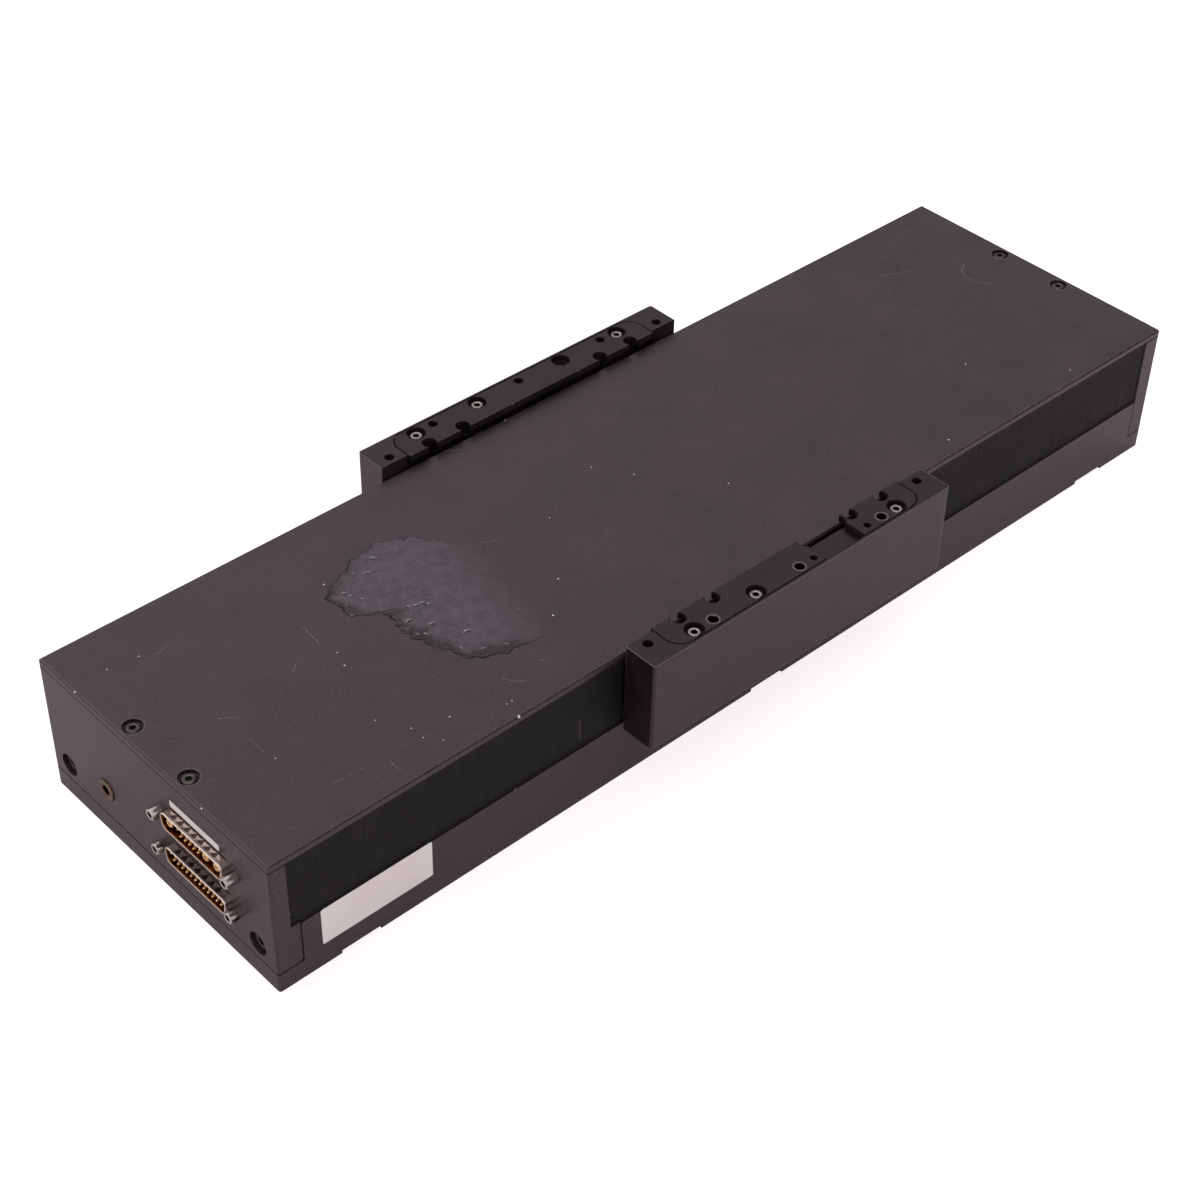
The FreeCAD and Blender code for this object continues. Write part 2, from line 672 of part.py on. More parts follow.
# Connectors: tapered metal shells with their flanges behind the plate, insulators and contacts
for label, z in CONNECTORS.items():
    shell = new_body(f"{label}_shell")
    shell_start = f"{CONNECTOR_FACE} - shell_reach"
    flange_front = f"{CONNECTOR_FACE} + connector_skin"
    rim = new_sketch(shell, "YZ_Plane", shell_start)
    rounded_outline(rim, shell_corners(z, 0), "shell_corner")
    pad(shell, rim, "shell_reach + connector_skin + flange_thickness")
    flange = new_sketch(shell, "YZ_Plane", flange_front)
    rectangle(flange, f"connector_y - {FLANGE_HALF_LENGTH}", f"connector_y + {FLANGE_HALF_LENGTH}",
              f"{z} - flange_height / 2", f"{z} + flange_height / 2")
    pad(shell, flange, "flange_thickness")
    mouth = new_sketch(shell, "YZ_Plane", f"{flange_front} + flange_thickness")
    rounded_outline(mouth, shell_corners(z, "-shell_wall"), "shell_corner - shell_wall")
    pocket(shell, mouth, "shell_reach + connector_skin + flange_thickness")

    insulator = new_body(f"{label}_insulator")
    insulator_face = f"{shell_start} + insulator_sink"
    block_outline = new_sketch(insulator, "YZ_Plane", insulator_face)
    rounded_outline(block_outline, shell_corners(z, "-shell_wall - insulator_clearance"),
                    "shell_corner - shell_wall - insulator_clearance")
    pad(insulator, block_outline, "insulator_depth")

INSULATOR_FACE = f"{CONNECTOR_FACE} - shell_reach + insulator_sink"


def contact_rows(z, columns, start):
    """Two staggered rows of thin contacts, with one fewer in the lower row."""
    places = [(f"{start} - {i} * contact_pitch", f"{z} + contact_row_gap / 2") for i in range(columns)]
    places += [(f"{start} - {i + 0.5} * contact_pitch", f"{z} - contact_row_gap / 2")
               for i in range(columns - 1)]
    return [prism(6, "contact_diameter", "contact_height", (INSULATOR_FACE, y, v), "-x") for y, v in places]


def power_contact(y, z):
    """A wide round contact with a hollow end and a thin core."""
    seat = (INSULATOR_FACE, y, z)
    bore_floor = shifted(seat, "-x", "contact_diameter")
    tube = cut(prism(12, "power_contact_diameter", "contact_height", seat, "-x"),
               prism(12, "power_contact_bore", "contact_height", bore_floor, "-x"))
    return joined(tube, prism(6, "contact_diameter", "contact_height", seat, "-x"))


signal_columns = 13
group("signal_connector_contacts", contact_rows(
    "signal_connector_z", signal_columns, f"connector_y + {(signal_columns - 1) / 2} * contact_pitch"))
power_columns = 6
power_ys = ("connector_y + power_contact_edge",
            "connector_y - power_contact_edge + power_contact_pitch",
            "connector_y - power_contact_edge")
thin_start = "connector_y + power_contact_edge - power_contact_pitch + contact_diameter"
group("power_connector_contacts", contact_rows("power_connector_z", power_columns, thin_start)
      + [power_contact(y, "power_connector_z") for y in power_ys])


def jack_post(y, z):
    """A hex post on the end plate with a threaded bore in its tip."""
    root = (CONNECTOR_FACE, y, z)
    tip = shifted(root, "-x", "post_height")
    return cut(hexagon("post_across_flats", "post_height", root, "-x"),
               rod("post_bore_diameter", "post_bore_depth", tip, "+x"))


group("jack_posts", [jack_post(y, z) for y, z in post_places])

# Purge plug: a brass plug with a hex socket, a little proud of the end
plug_tip = (f"{CONNECTOR_FACE} - plug_proud", "plug_y", "plug_z")
keep(cut(rod("plug_diameter", "plug_proud + plug_depth", plug_tip, "+x"),
         hexagon("plug_socket", "plug_socket_depth", plug_tip, "+x")), "purge_plug")

# Encoder scale, limit sensors and end bumpers of the fixed part
keep(block(RAIL_START, RAIL_END, f"{SCALE_Y} - scale_width / 2", f"{SCALE_Y} + scale_width / 2",
           "wall_height", "wall_height + scale_thickness"), "encoder_scale")
SENSOR_TOP = "(wall_height + sensor_height)"
for end, low in (("connector_end", f"({CONNECTOR_INSIDE} + sensor_gap)"),
                 ("plain_end", f"({PLAIN_INSIDE} - sensor_gap - sensor_length)")):
    high = f"{low} + sensor_length"
    sensor = block(low, high, f"{SCALE_Y} - sensor_width / 2", f"{SCALE_Y} + sensor_width / 2",
                   "wall_height", SENSOR_TOP)
    slot = block(low, high, f"{SCALE_Y} - sensor_slot / 2", f"{SCALE_Y} + sensor_slot / 2",
                 f"{SENSOR_TOP} - sensor_slot_depth", SENSOR_TOP)
    keep(cut(sensor, slot), f"{end}_limit_sensor")
BUMPER_Z = f"{SADDLE_BOTTOM} + saddle_thickness / 2"
for end, inside, direction in (("connector_end", CONNECTOR_INSIDE, "+x"), ("plain_end", PLAIN_INSIDE, "-x")):
    keep(rod("bumper_diameter", "bumper_length", (inside, "bumper_y", BUMPER_Z), direction), f"{end}_bumper")

# Carriage saddle: a plate on the bearing trucks, with thin arms that leave through the side slits
saddle = new_body("carriage_saddle")
arms = new_sketch(saddle, "XY_Plane", SADDLE_BOTTOM)
rectangle(arms, f"-{SADDLE_HALF_LENGTH}", SADDLE_HALF_LENGTH, f"-{ARM_REACH}", ARM_REACH)
pad(saddle, arms, "arm_thickness")
plate = new_sketch(saddle, "XY_Plane", SADDLE_BOTTOM)
rectangle(plate, f"-{SADDLE_HALF_LENGTH}", SADDLE_HALF_LENGTH,
          f"saddle_side_gap - {HALF_WIDTH}", f"{HALF_WIDTH} - saddle_side_gap")
pad(saddle, plate, "saddle_thickness")
head_window = new_sketch(saddle, "XY_Plane", SADDLE_TOP)
rectangle(head_window, "-head_length / 2 - head_clearance", "head_length / 2 + head_clearance",
          f"{SCALE_Y} - head_width / 2 - head_clearance", f"{SCALE_Y} + head_width / 2 + head_clearance")
pocket(saddle, head_window, "saddle_thickness")

# Bearing trucks: bevelled blocks that straddle the rails and carry the saddle
for label, (x, y) in truck_places.items():
    truck = new_body(label)
    truck_profile = new_sketch(truck, "YZ_Plane", f"{x} - truck_length / 2")
    groove = "(rail_width / 2 + truck_clearance)"
    groove_top = "floor_thickness + rail_height + truck_clearance"
    truck_foot = "floor_thickness + truck_lift"
    outline(truck_profile, [(f"{y} - truck_width / 2", truck_foot),
                            (f"{y} - {groove}", truck_foot),
                            (f"{y} - {groove}", groove_top),
                            (f"{y} + {groove}", groove_top),
                            (f"{y} + {groove}", truck_foot),
                            (f"{y} + truck_width / 2", truck_foot),
                            (f"{y} + truck_width / 2", f"{SADDLE_BOTTOM} - truck_bevel"),
                            (f"{y} + truck_width / 2 - truck_bevel", SADDLE_BOTTOM),
                            (f"{y} - truck_width / 2 + truck_bevel", SADDLE_BOTTOM),
                            (f"{y} - truck_width / 2", f"{SADDLE_BOTTOM} - truck_bevel")])
    pad(truck, truck_profile, "truck_length")


def bolt_head(x, y):
    """The hex head of a bolt that comes down through the saddle."""
    return hexagon("saddle_screw_across_flats", "saddle_screw_head_height", (x, y, SADDLE_TOP), "+z")


group("truck_screws", [bolt_head(x, y) for x, y in truck_screw_places])

# Forcer: the moving coil, a thin blade in the magnet gap, held by a bar under the saddle
forcer = new_body("forcer_bar")
bar_outline = new_sketch(forcer, "XY_Plane", "floor_thickness + forcer_lift")
FORCER_HALF_LENGTH = f"({SADDLE_HALF_LENGTH} - forcer_end_inset)"
rectangle(bar_outline, f"-{FORCER_HALF_LENGTH}", FORCER_HALF_LENGTH,
          FORCER_START, f"{FORCER_START} + forcer_width")
pad(forcer, bar_outline, f"{SADDLE_BOTTOM} - floor_thickness - forcer_lift")
keep(block(f"coil_end_inset - {SADDLE_HALF_LENGTH}", f"{SADDLE_HALF_LENGTH} - coil_end_inset",
           f"{YOKE_START} + yoke_wall + coil_running_gap", FORCER_START,
           f"{GAP_LOW} + magnet_thickness + coil_side_gap", f"{GAP_HIGH} - magnet_thickness - coil_side_gap"),
     "forcer_coil")
group("forcer_screws", [bolt_head(x, y) for x, y in forcer_screw_places])

# Encoder read head, hung in the saddle's window over the scale by its ears
HEAD_SIDES = (f"{SCALE_Y} - head_width / 2", f"{SCALE_Y} + head_width / 2")
head_body = block("-head_length / 2", "head_length / 2", *HEAD_SIDES,
                  "wall_height + scale_thickness + head_gap", SADDLE_TOP)
head_ears = block("-head_length / 2 - head_ear", "head_length / 2 + head_ear", *HEAD_SIDES,
                  SADDLE_TOP, f"{SADDLE_TOP} + head_flange")
keep(joined(head_body, head_ears), "encoder_read_head")

# Limit flags: bent plates on both ends of the saddle that reach into the limit sensors
flags = []
for s in BOTH:
    tip = f"{s} * ({SADDLE_HALF_LENGTH} + flag_reach)"
    foot_x = sorted([f"{s} * ({SADDLE_HALF_LENGTH} - flag_foot)", tip], key=value)
    blade_x = sorted([f"{s} * ({SADDLE_HALF_LENGTH} + flag_gap)", tip], key=value)
    foot = block(*foot_x, f"{SCALE_Y} - sensor_width / 2", f"{SCALE_Y} + sensor_width / 2",
                 SADDLE_TOP, f"{SADDLE_TOP} + flag_thickness")
    blade = block(*blade_x, f"{SCALE_Y} - flag_thickness / 2", f"{SCALE_Y} + flag_thickness / 2",
                  f"{SADDLE_TOP} - flag_drop", SADDLE_TOP)
    flags.append(joined(foot, blade))
group("limit_flags", flags)

# Riser bars: grooved over the saddle's arms and set back along the inner face between their ends,
# where the access holes run down to the screws, with a shallow pocket in the top for the hard inserts
INSERT_EDGE = f"({RISER_OUTER} - insert_lip)"
INSERT_HALF_LENGTH = "(riser_half_length - insert_end_inset)"
payload_xs = ["-payload_pitch", "0", "payload_pitch"]
insert_screw_xs = ["-insert_screw_outer_x", "-insert_screw_inner_x", "insert_screw_outer_x"]


def vertical_corner(x, y):
    """Picks the upright edges at plus or minus x, on the bar's side at y."""
    return lambda edge: (along(edge, Z_AXIS) and near(abs(edge.CenterOfMass.x), value(x))
                         and near(abs(edge.CenterOfMass.y), value(y)))


for side, s in SIDES.items():
    riser = new_body(f"{side}_riser")
    bar = new_sketch(riser, "XY_Plane", f"{SADDLE_BOTTOM} - riser_foot")
    rectangle(bar, "-riser_half_length", "riser_half_length", f"{s} * {RISER_INNER}", f"{s} * {RISER_OUTER}")
    pad(riser, bar, f"{RISER_TOP} - {SADDLE_BOTTOM} + riser_foot")
    dress(riser, "PartDesign::Fillet", "Radius", "riser_corner",
          vertical_corner("riser_half_length", RISER_OUTER))
    arm_groove = new_sketch(riser, "XY_Plane", ARM_TOP)
    groove_end = f"({SADDLE_HALF_LENGTH} + riser_groove_gap)"
    rectangle(arm_groove, f"-{groove_end}", groove_end,
              f"{s} * ({RISER_INNER} - overcut)", f"{s} * ({ARM_REACH} + riser_groove_gap)")
    pocket(riser, arm_groove, "arm_thickness + riser_groove_gap")
    insert_pocket = new_sketch(riser, "XY_Plane", RISER_TOP)
    rectangle(insert_pocket, f"-{INSERT_HALF_LENGTH}", INSERT_HALF_LENGTH,
              f"{s} * ({RISER_INNER} - overcut)", f"{s} * {INSERT_EDGE}")
    pocket(riser, insert_pocket, "insert_thickness")
    dress(riser, "PartDesign::Fillet", "Radius", "insert_corner",
          vertical_corner(INSERT_HALF_LENGTH, INSERT_EDGE))
    recess = new_sketch(riser, "XY_Plane", RISER_POCKET_FLOOR)
    rectangle(recess, f"-{INSERT_HALF_LENGTH}", INSERT_HALF_LENGTH,
              f"{s} * ({RISER_INNER} - overcut)", f"{s} * ({RISER_INNER} + riser_recess)")
    pocket(riser, recess, f"{RISER_POCKET_FLOOR} - {ACCESS_FLOOR}")
    access = new_sketch(riser, "XY_Plane", RISER_POCKET_FLOOR)
    circles(access, "access_diameter", [(x, f"{s} * {ACCESS_Y}") for x in access_xs])
    pocket(riser, access, f"{RISER_POCKET_FLOOR} - {ACCESS_FLOOR}")
    end_holes = new_sketch(riser, "XY_Plane", RISER_TOP)
    circles(end_holes, "tapped_diameter",
            [(f"{sx} * (riser_half_length - end_hole_end_inset)", f"{s} * ({RISER_INNER} + end_hole_inset)")
             for sx in BOTH])
    pocket(riser, end_holes, "tapped_depth")
    payload_holes = new_sketch(riser, "XY_Plane", RISER_POCKET_FLOOR)
    circles(payload_holes, "tapped_diameter", [(x, f"{s} * {PAYLOAD_Y}") for x in payload_xs])
    pocket(riser, payload_holes, "tapped_depth - insert_thickness")

group("riser_screws", [prism(12, "riser_screw_head_diameter", "riser_screw_head_height",
                             (x, f"{s} * {ACCESS_Y}", ACCESS_FLOOR), "+z")
                       for s in BOTH for x in access_xs])


# Inserts: hard plates that lie flush in the riser pockets and reach over the recess, one whole and one
# in two lengths with round bites where they part
def insert(label, s, x_low, x_high, dowel_xs, bite_xs):
    body = new_body(label)
    plan = new_sketch(body, "XY_Plane", RISER_POCKET_FLOOR)
    rectangle(plan, x_low, x_high, f"{s} * {INSERT_INNER}", f"{s} * ({INSERT_EDGE} - insert_gap)")
    pad(body, plan, "insert_thickness")
    dress(body, "PartDesign::Fillet", "Radius", "insert_corner - insert_gap",
          vertical_corner(f"{INSERT_HALF_LENGTH} - insert_gap", f"{INSERT_EDGE} - insert_gap"))

    def places(xs, y):
        """The places of the list that fall on this insert."""
        return [(x, f"{s} * {y}") for x in xs if value(x_low) < value(x) < value(x_high)]

    holes = new_sketch(body, "XY_Plane", RISER_TOP)
    circles(holes, "access_diameter", places(access_xs, ACCESS_Y))
    circles(holes, "tapped_diameter", places(payload_xs, PAYLOAD_Y))
    circles(holes, "dowel_diameter", places(dowel_xs, PAYLOAD_Y))
    circles(holes, "gap_relief_diameter", [(x, f"{s} * ({RISER_INNER} + gap_relief_side)") for x in bite_xs])
    pocket(body, holes, "insert_thickness")
    sinks = new_sketch(body, "XY_Plane", RISER_TOP)
    circles(sinks, "insert_screw_sink_diameter", places(insert_screw_xs, INSERT_SCREW_Y))
    pocket(body, sinks, "insert_screw_sink")
    return body


INSERT_END = f"({INSERT_HALF_LENGTH} - insert_gap)"
insert("near_long_insert", "-1", f"-{INSERT_END}", "near_gap_start", ["dowel_long_x"],
       ["near_gap_start + gap_relief_inset"])
insert("near_short_insert", "-1", "near_gap_end", INSERT_END, ["dowel_short_x"],
       ["near_gap_end - gap_relief_inset"])
far_insert = insert("far_insert", "1", f"-{INSERT_END}", INSERT_END, [], [])
for diameter, depth in (("insert_screw_sink_diameter", "insert_screw_sink"),
                        ("spare_hole_diameter", "insert_thickness")):
    spare = new_sketch(far_insert, "XY_Plane", RISER_TOP)
    circles(spare, diameter, [("insert_screw_inner_x", INSERT_SCREW_Y)])
    pocket(far_insert, spare, depth)
group("insert_screws", [
    socket_head("insert_screw", (x, f"{s} * {INSERT_SCREW_Y}", f"{RISER_TOP} - insert_screw_sink"), "+z")
    for s in BOTH for x in insert_screw_xs])

doc.recompute()
for item in doc.Objects:
    if "Invalid" in item.State or "Error" in item.State:
        raise RuntimeError(f"{item.Label} failed: {item.State}")
for piece in sub_parts:
    if piece.Shape.isNull() or not piece.Shape.isValid():
        raise RuntimeError(f"{piece.Label} has no valid shape")
for piece in sub_parts:
    piece.Shape.exportStep(f"parts/{piece.Label}.step")
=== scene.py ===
import bpy
import numpy as np
from mathutils import Matrix


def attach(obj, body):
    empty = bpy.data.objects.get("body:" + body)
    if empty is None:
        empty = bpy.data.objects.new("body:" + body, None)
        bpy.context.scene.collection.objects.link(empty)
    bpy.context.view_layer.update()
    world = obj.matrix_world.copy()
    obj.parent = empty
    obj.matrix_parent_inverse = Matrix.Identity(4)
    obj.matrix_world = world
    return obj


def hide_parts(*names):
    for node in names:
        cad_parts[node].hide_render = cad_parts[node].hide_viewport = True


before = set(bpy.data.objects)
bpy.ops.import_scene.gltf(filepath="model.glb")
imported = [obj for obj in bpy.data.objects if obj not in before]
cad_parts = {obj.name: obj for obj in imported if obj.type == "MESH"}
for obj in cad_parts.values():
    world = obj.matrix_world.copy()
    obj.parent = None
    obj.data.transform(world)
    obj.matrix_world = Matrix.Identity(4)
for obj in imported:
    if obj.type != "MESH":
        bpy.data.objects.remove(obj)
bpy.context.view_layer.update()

# Base and end plates: a channel milled from one aluminium bar, with a plate screwed on each end.
# All of it is bead blasted and dark anodised, a little cloudy, with its broken edges darkened by painted
# shade, and a few pale nicks.
MM = 0.001


def colour(red, green, blue):
    """The linear colour, opaque, of screen values from 0 to 255."""
    return [*((np.array([red, green, blue]) / 255 + 0.055) / 1.055) ** 2.4, 1.0]


SKIN_DARK, SKIN_PALE, SKIN_SHEEN = colour(4, 3, 4), colour(54, 46, 50), colour(255, 226, 241)
EDGE_SHADE, EDGE_HIGHLIGHT, NICK_PALE = colour(16, 13, 14), colour(138, 128, 131), colour(150, 142, 143)
# lumps to the metre in the skin's tone, its grain and its nicks
SKIN_CLOUD, SKIN_MOTTLE, SKIN_GRAIN, SKIN_NICKS = 38, 1350, 2600, 300


def finish(name, **sockets):
    """A new material with its Principled shader; a socket that is the same all over is set here."""
    made = bpy.data.materials.new(name)
    made.use_nodes = True
    shader = made.node_tree.nodes["Principled BSDF"]
    for socket, value in sockets.items():
        shader.inputs[socket.replace("_", " ")].default_value = value
    return made, made.node_tree, shader


def feed(tree, shader, **outputs):
    """Feeds sockets of the shader from the outputs of other nodes."""
    for socket, output in outputs.items():
        tree.links.new(output, shader.inputs[socket.replace("_", " ")])


def add(tree, kind, inputs=None, **settings):
    """A shader node of that kind; each input takes a value, or the output that feeds it."""
    made = tree.nodes.new("ShaderNode" + kind)
    for key, value in settings.items():
        setattr(made, key, value)
    for key, value in (inputs or {}).items():
        if isinstance(value, bpy.types.NodeSocket):
            tree.links.new(value, made.inputs[key])
        else:
            made.inputs[key].default_value = value
    return made


def reckon(tree, operation, *values):
    """The result of a Math node."""
    return add(tree, "Math", dict(enumerate(values)), operation=operation).outputs[0]


def times(tree, first, second):
    """One share times another."""
    return reckon(tree, "MULTIPLY", first, second)


def vector(tree, operation, *values, **named):
    """The result of a Vector Math node, which is a number for a dot product, a distance or a length."""
    made = add(tree, "VectorMath", {**dict(enumerate(values)), **named}, operation=operation)
    return made.outputs["Value" if operation in ("DOT_PRODUCT", "DISTANCE", "LENGTH") else "Vector"]


def spread(tree, value, low, high, to_low=0.0, to_high=1.0):
    """The value carried from low..high to to_low..to_high and held there."""
    return add(tree, "MapRange", {"Value": value, "From Min": low, "From Max": high,
                                  "To Min": to_low, "To Max": to_high}).outputs[0]


def tint(tree, share, first, second):
    """First colour where the share is 0, second where it is 1."""
    return add(tree, "Mix", {0: share, 6: first, 7: second}, data_type="RGBA").outputs[2]


def place(tree):
    """Where a point lies on the piece, in metres."""
    return add(tree, "TexCoord").outputs["Object"]


def noise(tree, where, scale, detail=2.0, roughness=0.5):
    """Soft noise from 0 to 1 with that many lumps to the metre."""
    return add(tree, "TexNoise", {"Vector": where, "Scale": scale, "Detail": detail,
                                  "Roughness": roughness}).outputs["Fac"]


def edge_wear_and_light(tree, radius):
    """The rounded normal of an edge, and how near a point is to that edge, from 0 to 1, by how far the
    rounded normal leans from the flat one."""
    rounded = add(tree, "Bevel", {"Radius": radius}, samples=8).outputs[0]
    flat = add(tree, "NewGeometry").outputs["Normal"]
    return rounded, spread(tree, vector(tree, "DOT_PRODUCT", rounded, flat), 0.998, 0.93)


def rough_skin(tree, shader, height, strength, distance, rounded=None):
    """Raises a fine grain on the shader's normal, over the rounded edges where they are given."""
    inputs = {"Height": height, "Strength": strength, "Distance": distance}
    if rounded is not None:
        inputs["Normal"] = rounded
    feed(tree, shader, Normal=add(tree, "Bump", inputs).outputs[0])


def anodised(name, dark, pale, gloss, smooth=0.40, edge=0.9, edge_highlight=0.0):
    """Anodised aluminium: a mottled, cloudy tone between two colours and a blasted grain. Along its edges,
    by the shares given, painted shade darkens the skin and a painted highlight makes it pale, with a few pale
    nicks."""
    made, tree, shader = finish(name, Specular_IOR_Level=gloss, Specular_Tint=SKIN_SHEEN)
    where = place(tree)
    cloud = noise(tree, where, SKIN_CLOUD, 5, 0.6)
    mottle = noise(tree, where, SKIN_MOTTLE, 4, 0.7)
    grain = noise(tree, where, SKIN_GRAIN, 3, 0.65)
    rounded, rim = edge_wear_and_light(tree, 0.8 * MM)
    share = reckon(tree, "ADD", spread(tree, cloud, 0.28, 0.72, 0, 0.35),
                   spread(tree, mottle, 0.36, 0.64, 0, 0.65))
    # painted shade along the edges, by the share edge: a dark tone, and a metal-like skin whose dark colour
    # dulls the reflection
    edge_shade = times(tree, rim, edge)
    nick = times(tree, rim, spread(tree, noise(tree, where, SKIN_NICKS, 3), 0.68, 0.73))
    tone = tint(tree, share, dark, pale)
    tone = tint(tree, edge_shade, tone, EDGE_SHADE)
    # painted highlight along the edges, by the share given
    tone = tint(tree, times(tree, rim, edge_highlight), tone, EDGE_HIGHLIGHT)
    tone = tint(tree, nick, tone, NICK_PALE)
    dull = spread(tree, mottle, 0.38, 0.62, 0.15, 0.0)
    shine = reckon(tree, "ADD", spread(tree, grain, 0.2, 0.8, smooth - 0.05, smooth + 0.07),
                   spread(tree, cloud, 0.3, 0.7, -0.025, 0.025))
    feed(tree, shader, Base_Color=tone, Metallic=reckon(tree, "MAXIMUM", edge_shade, dull), Roughness=shine)
    rough_skin(tree, shader, grain, 0.10, 0.06 * MM, rounded)
    return made, tree, shader


def coat(material, *nodes):
    """Gives CAD nodes their finish."""
    for name in nodes:
        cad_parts[name].data.materials.clear()
        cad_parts[name].data.materials.append(material)


coat(anodised("anodised_body", SKIN_DARK, SKIN_PALE, gloss=0.74)[0],
     "base", "connector_end_plate", "plain_end_plate")

# End plate screws: socket head cap screws of blackened steel, turned, and sunk in counterbores.
# Each head has a rounded rim and a hexagon socket broached down to a drilled point.

# stands in a row of a turned piece for a circle or a hexagon too wide to cut anything off
ROUND = 1e3


def loft(loops, ring=False):
    """A skin over loops of points, an array of loop by point by xyz: a quad joins each pair of
    neighbouring points on neighbouring loops. Flat caps close the ends, or the last loop joins the
    first where ring is set. The faces come in blocks, each an array of face by corner."""
    loops = np.asarray(loops, float)
    count, around = loops.shape[:2]
    number = np.arange(count * around).reshape(count, around)
    caps = [] if ring else [number[:1, ::-1], number[-1:]]
    if ring:
        number = np.vstack([number, number[:1]])
    here, there = number[:-1], number[1:]
    quads = np.stack([here, np.roll(here, -1, 1), np.roll(there, -1, 1), there], -1).reshape(-1, 4)
    return loops.reshape(-1, 3), [quads, *caps]


def turned(rows, centre, axis, sides=48, ring=False, bore=0):
    """A turned or hexagonal piece. Each row is a height along the axis, a circle's radius and half a
    hexagon's width across flats; at every angle the skin lies on the nearer of circle and hexagon.
    The last rows, as many as bore says, line a hole and are marked for painted shade."""
    height, radius, flat = np.array(rows, float).T[:, :, None]
    angle = np.arange(sides) * 2 * np.pi / sides
    reach = np.minimum(radius, flat / np.cos((angle + np.pi / 6) % (np.pi / 3) - np.pi / 6))
    axis = np.array(axis, float)
    across = np.abs(np.roll(axis, 1))
    beside = np.cross(axis, across)
    out = np.cos(angle)[:, None] * across + np.sin(angle)[:, None] * beside
    loops = np.array(centre, float) + height[..., None] * axis + reach[..., None] * out
    return *loft(loops, ring), {"soot": np.repeat(np.arange(len(rows)) >= len(rows) - bore, sides)}


def gathered(shapes):
    """Several turned skins as one: their points in a row, and each skin's corners counted on from there."""
    points, blocks, soot, first = [], [], [], 0
    for some_points, some_blocks, shares in shapes:
        points.append(some_points)
        blocks += [block + first for block in some_blocks]
        soot.append(shares["soot"])
        first += len(some_points)
    return np.concatenate(points), blocks, {"soot": np.concatenate(soot)}


def piece(name, shape, material, body, slot=None, *stands_for, sharp=35):
    """A piece of the object from a skin in millimetres, with its finish and its body. Its slot is not used.
    Shares that come with the skin, a number for each point, are kept for its material to read."""
    points, blocks, *shares = shape
    mesh = bpy.data.meshes.new(name)
    mesh.from_pydata((points * MM).tolist(), [], [face for block in blocks for face in block.tolist()])
    mesh.polygons.foreach_set("use_smooth", np.ones(len(mesh.polygons), bool))
    mesh.set_sharp_from_angle(angle=np.radians(sharp))
    mesh.materials.append(material)
    for share, values in (shares[0] if shares else {}).items():
        mesh.attributes.new(share, "FLOAT", "POINT").data.foreach_set("value", values.astype(np.float32))
    made = bpy.data.objects.new(name, mesh)
    bpy.context.scene.collection.objects.link(made)
    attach(made, body)
    if stands_for:
        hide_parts(*stands_for)


def socket_head(radius, height, socket, rim, depth):
    """Rows of a socket screw head: flat foot, straight side, rounded rim, flat top, hexagon socket."""
    chamfer = 0.15
    turn = np.linspace(0, np.pi / 2, 7)
    side = [(0, radius - chamfer, ROUND), (chamfer, radius, ROUND)]
    edge = [(height - rim + rim * np.sin(t), radius - rim + rim * np.cos(t), ROUND) for t in turn]
    mouth = socket * 0.5
    bore = [(height, mouth * 1.3, ROUND), (height - chamfer, mouth * 1.17, mouth * 1.03),
            (height - 2 * chamfer, ROUND, mouth), (height - depth, ROUND, mouth),
            (height - depth - 0.25 * socket, mouth * 0.3, ROUND)]
    return side + edge + bore


SOCKET_ROWS = 3


def kept_share(tree, name):
    """A share that was kept with the piece's points."""
    return add(tree, "Attribute", attribute_name=name).outputs["Fac"]


def recess_shaded(tree, tone):
    """The tone, painted black as shade down the holes of a turned piece."""
    return tint(tree, kept_share(tree, "soot"), tone, colour(7, 6, 6))


def blackened(name, dark, pale, smooth):
    """Black oxide steel: a blue-black skin with brown patches, worn to bare metal on its rims."""
    made, tree, shader = finish(name, Metallic=0.85)
    where = place(tree)
    rounded, rim = edge_wear_and_light(tree, 0.25 * MM)
    patch = noise(tree, where, 420, 4)
    tone = tint(tree, spread(tree, patch, 0.35, 0.7), dark, pale)
    worn = times(tree, rim, spread(tree, patch, 0.2, 0.6))
    # painted shade: black down the socket
    tone = recess_shaded(tree, tint(tree, worn, tone, colour(172, 165, 163)))
    shine = spread(tree, patch, 0.3, 0.7, smooth - 0.06, smooth + 0.1)
    feed(tree, shader, Base_Color=tone, Roughness=shine)
    rough_skin(tree, shader, noise(tree, where, 5200, 2), 0.12, 0.03 * MM, rounded)
    return made


black_screw = blackened("black_oxide", colour(44, 39, 40), colour(78, 71, 70), 0.36)
PLATE_SCREW = socket_head(radius=4.25, height=5.0, socket=4.0, rim=0.55, depth=3.0)
PLATE_SEAT, PLATE_SCREW_Y, PLATE_SCREW_Z = 254.5, 63.3, 17.9
plate_screws = [turned(PLATE_SCREW, (end * PLATE_SEAT, side * PLATE_SCREW_Y, PLATE_SCREW_Z), (end, 0, 0),
                       bore=SOCKET_ROWS) for end in (-1, 1) for side in (-1, 1)]
piece("end_plate_screw_heads", gathered(plate_screws), black_screw, "frame", "dark_steel", "end_plate_screws")

# Works inside the body: ground steel rails and bearing trucks, a magnet channel with a flat moving
# coil between its rows, an optical scale with its read head, and a sensor and a bumper at each end.


def stretched(tree, where, scale, turn=0.0):
    """Coordinates stretched along the axes and turned about Z, for grain that runs one way."""
    inputs = {"Vector": where, "Scale": scale, "Rotation": (0.0, 0.0, turn)}
    return add(tree, "Mapping", inputs).outputs[0]


def clouded(tree, cloud, dark, pale):
    """A tone from dark to pale over the middle part of a noise's range."""
    return tint(tree, spread(tree, cloud, 0.3, 0.7), dark, pale)


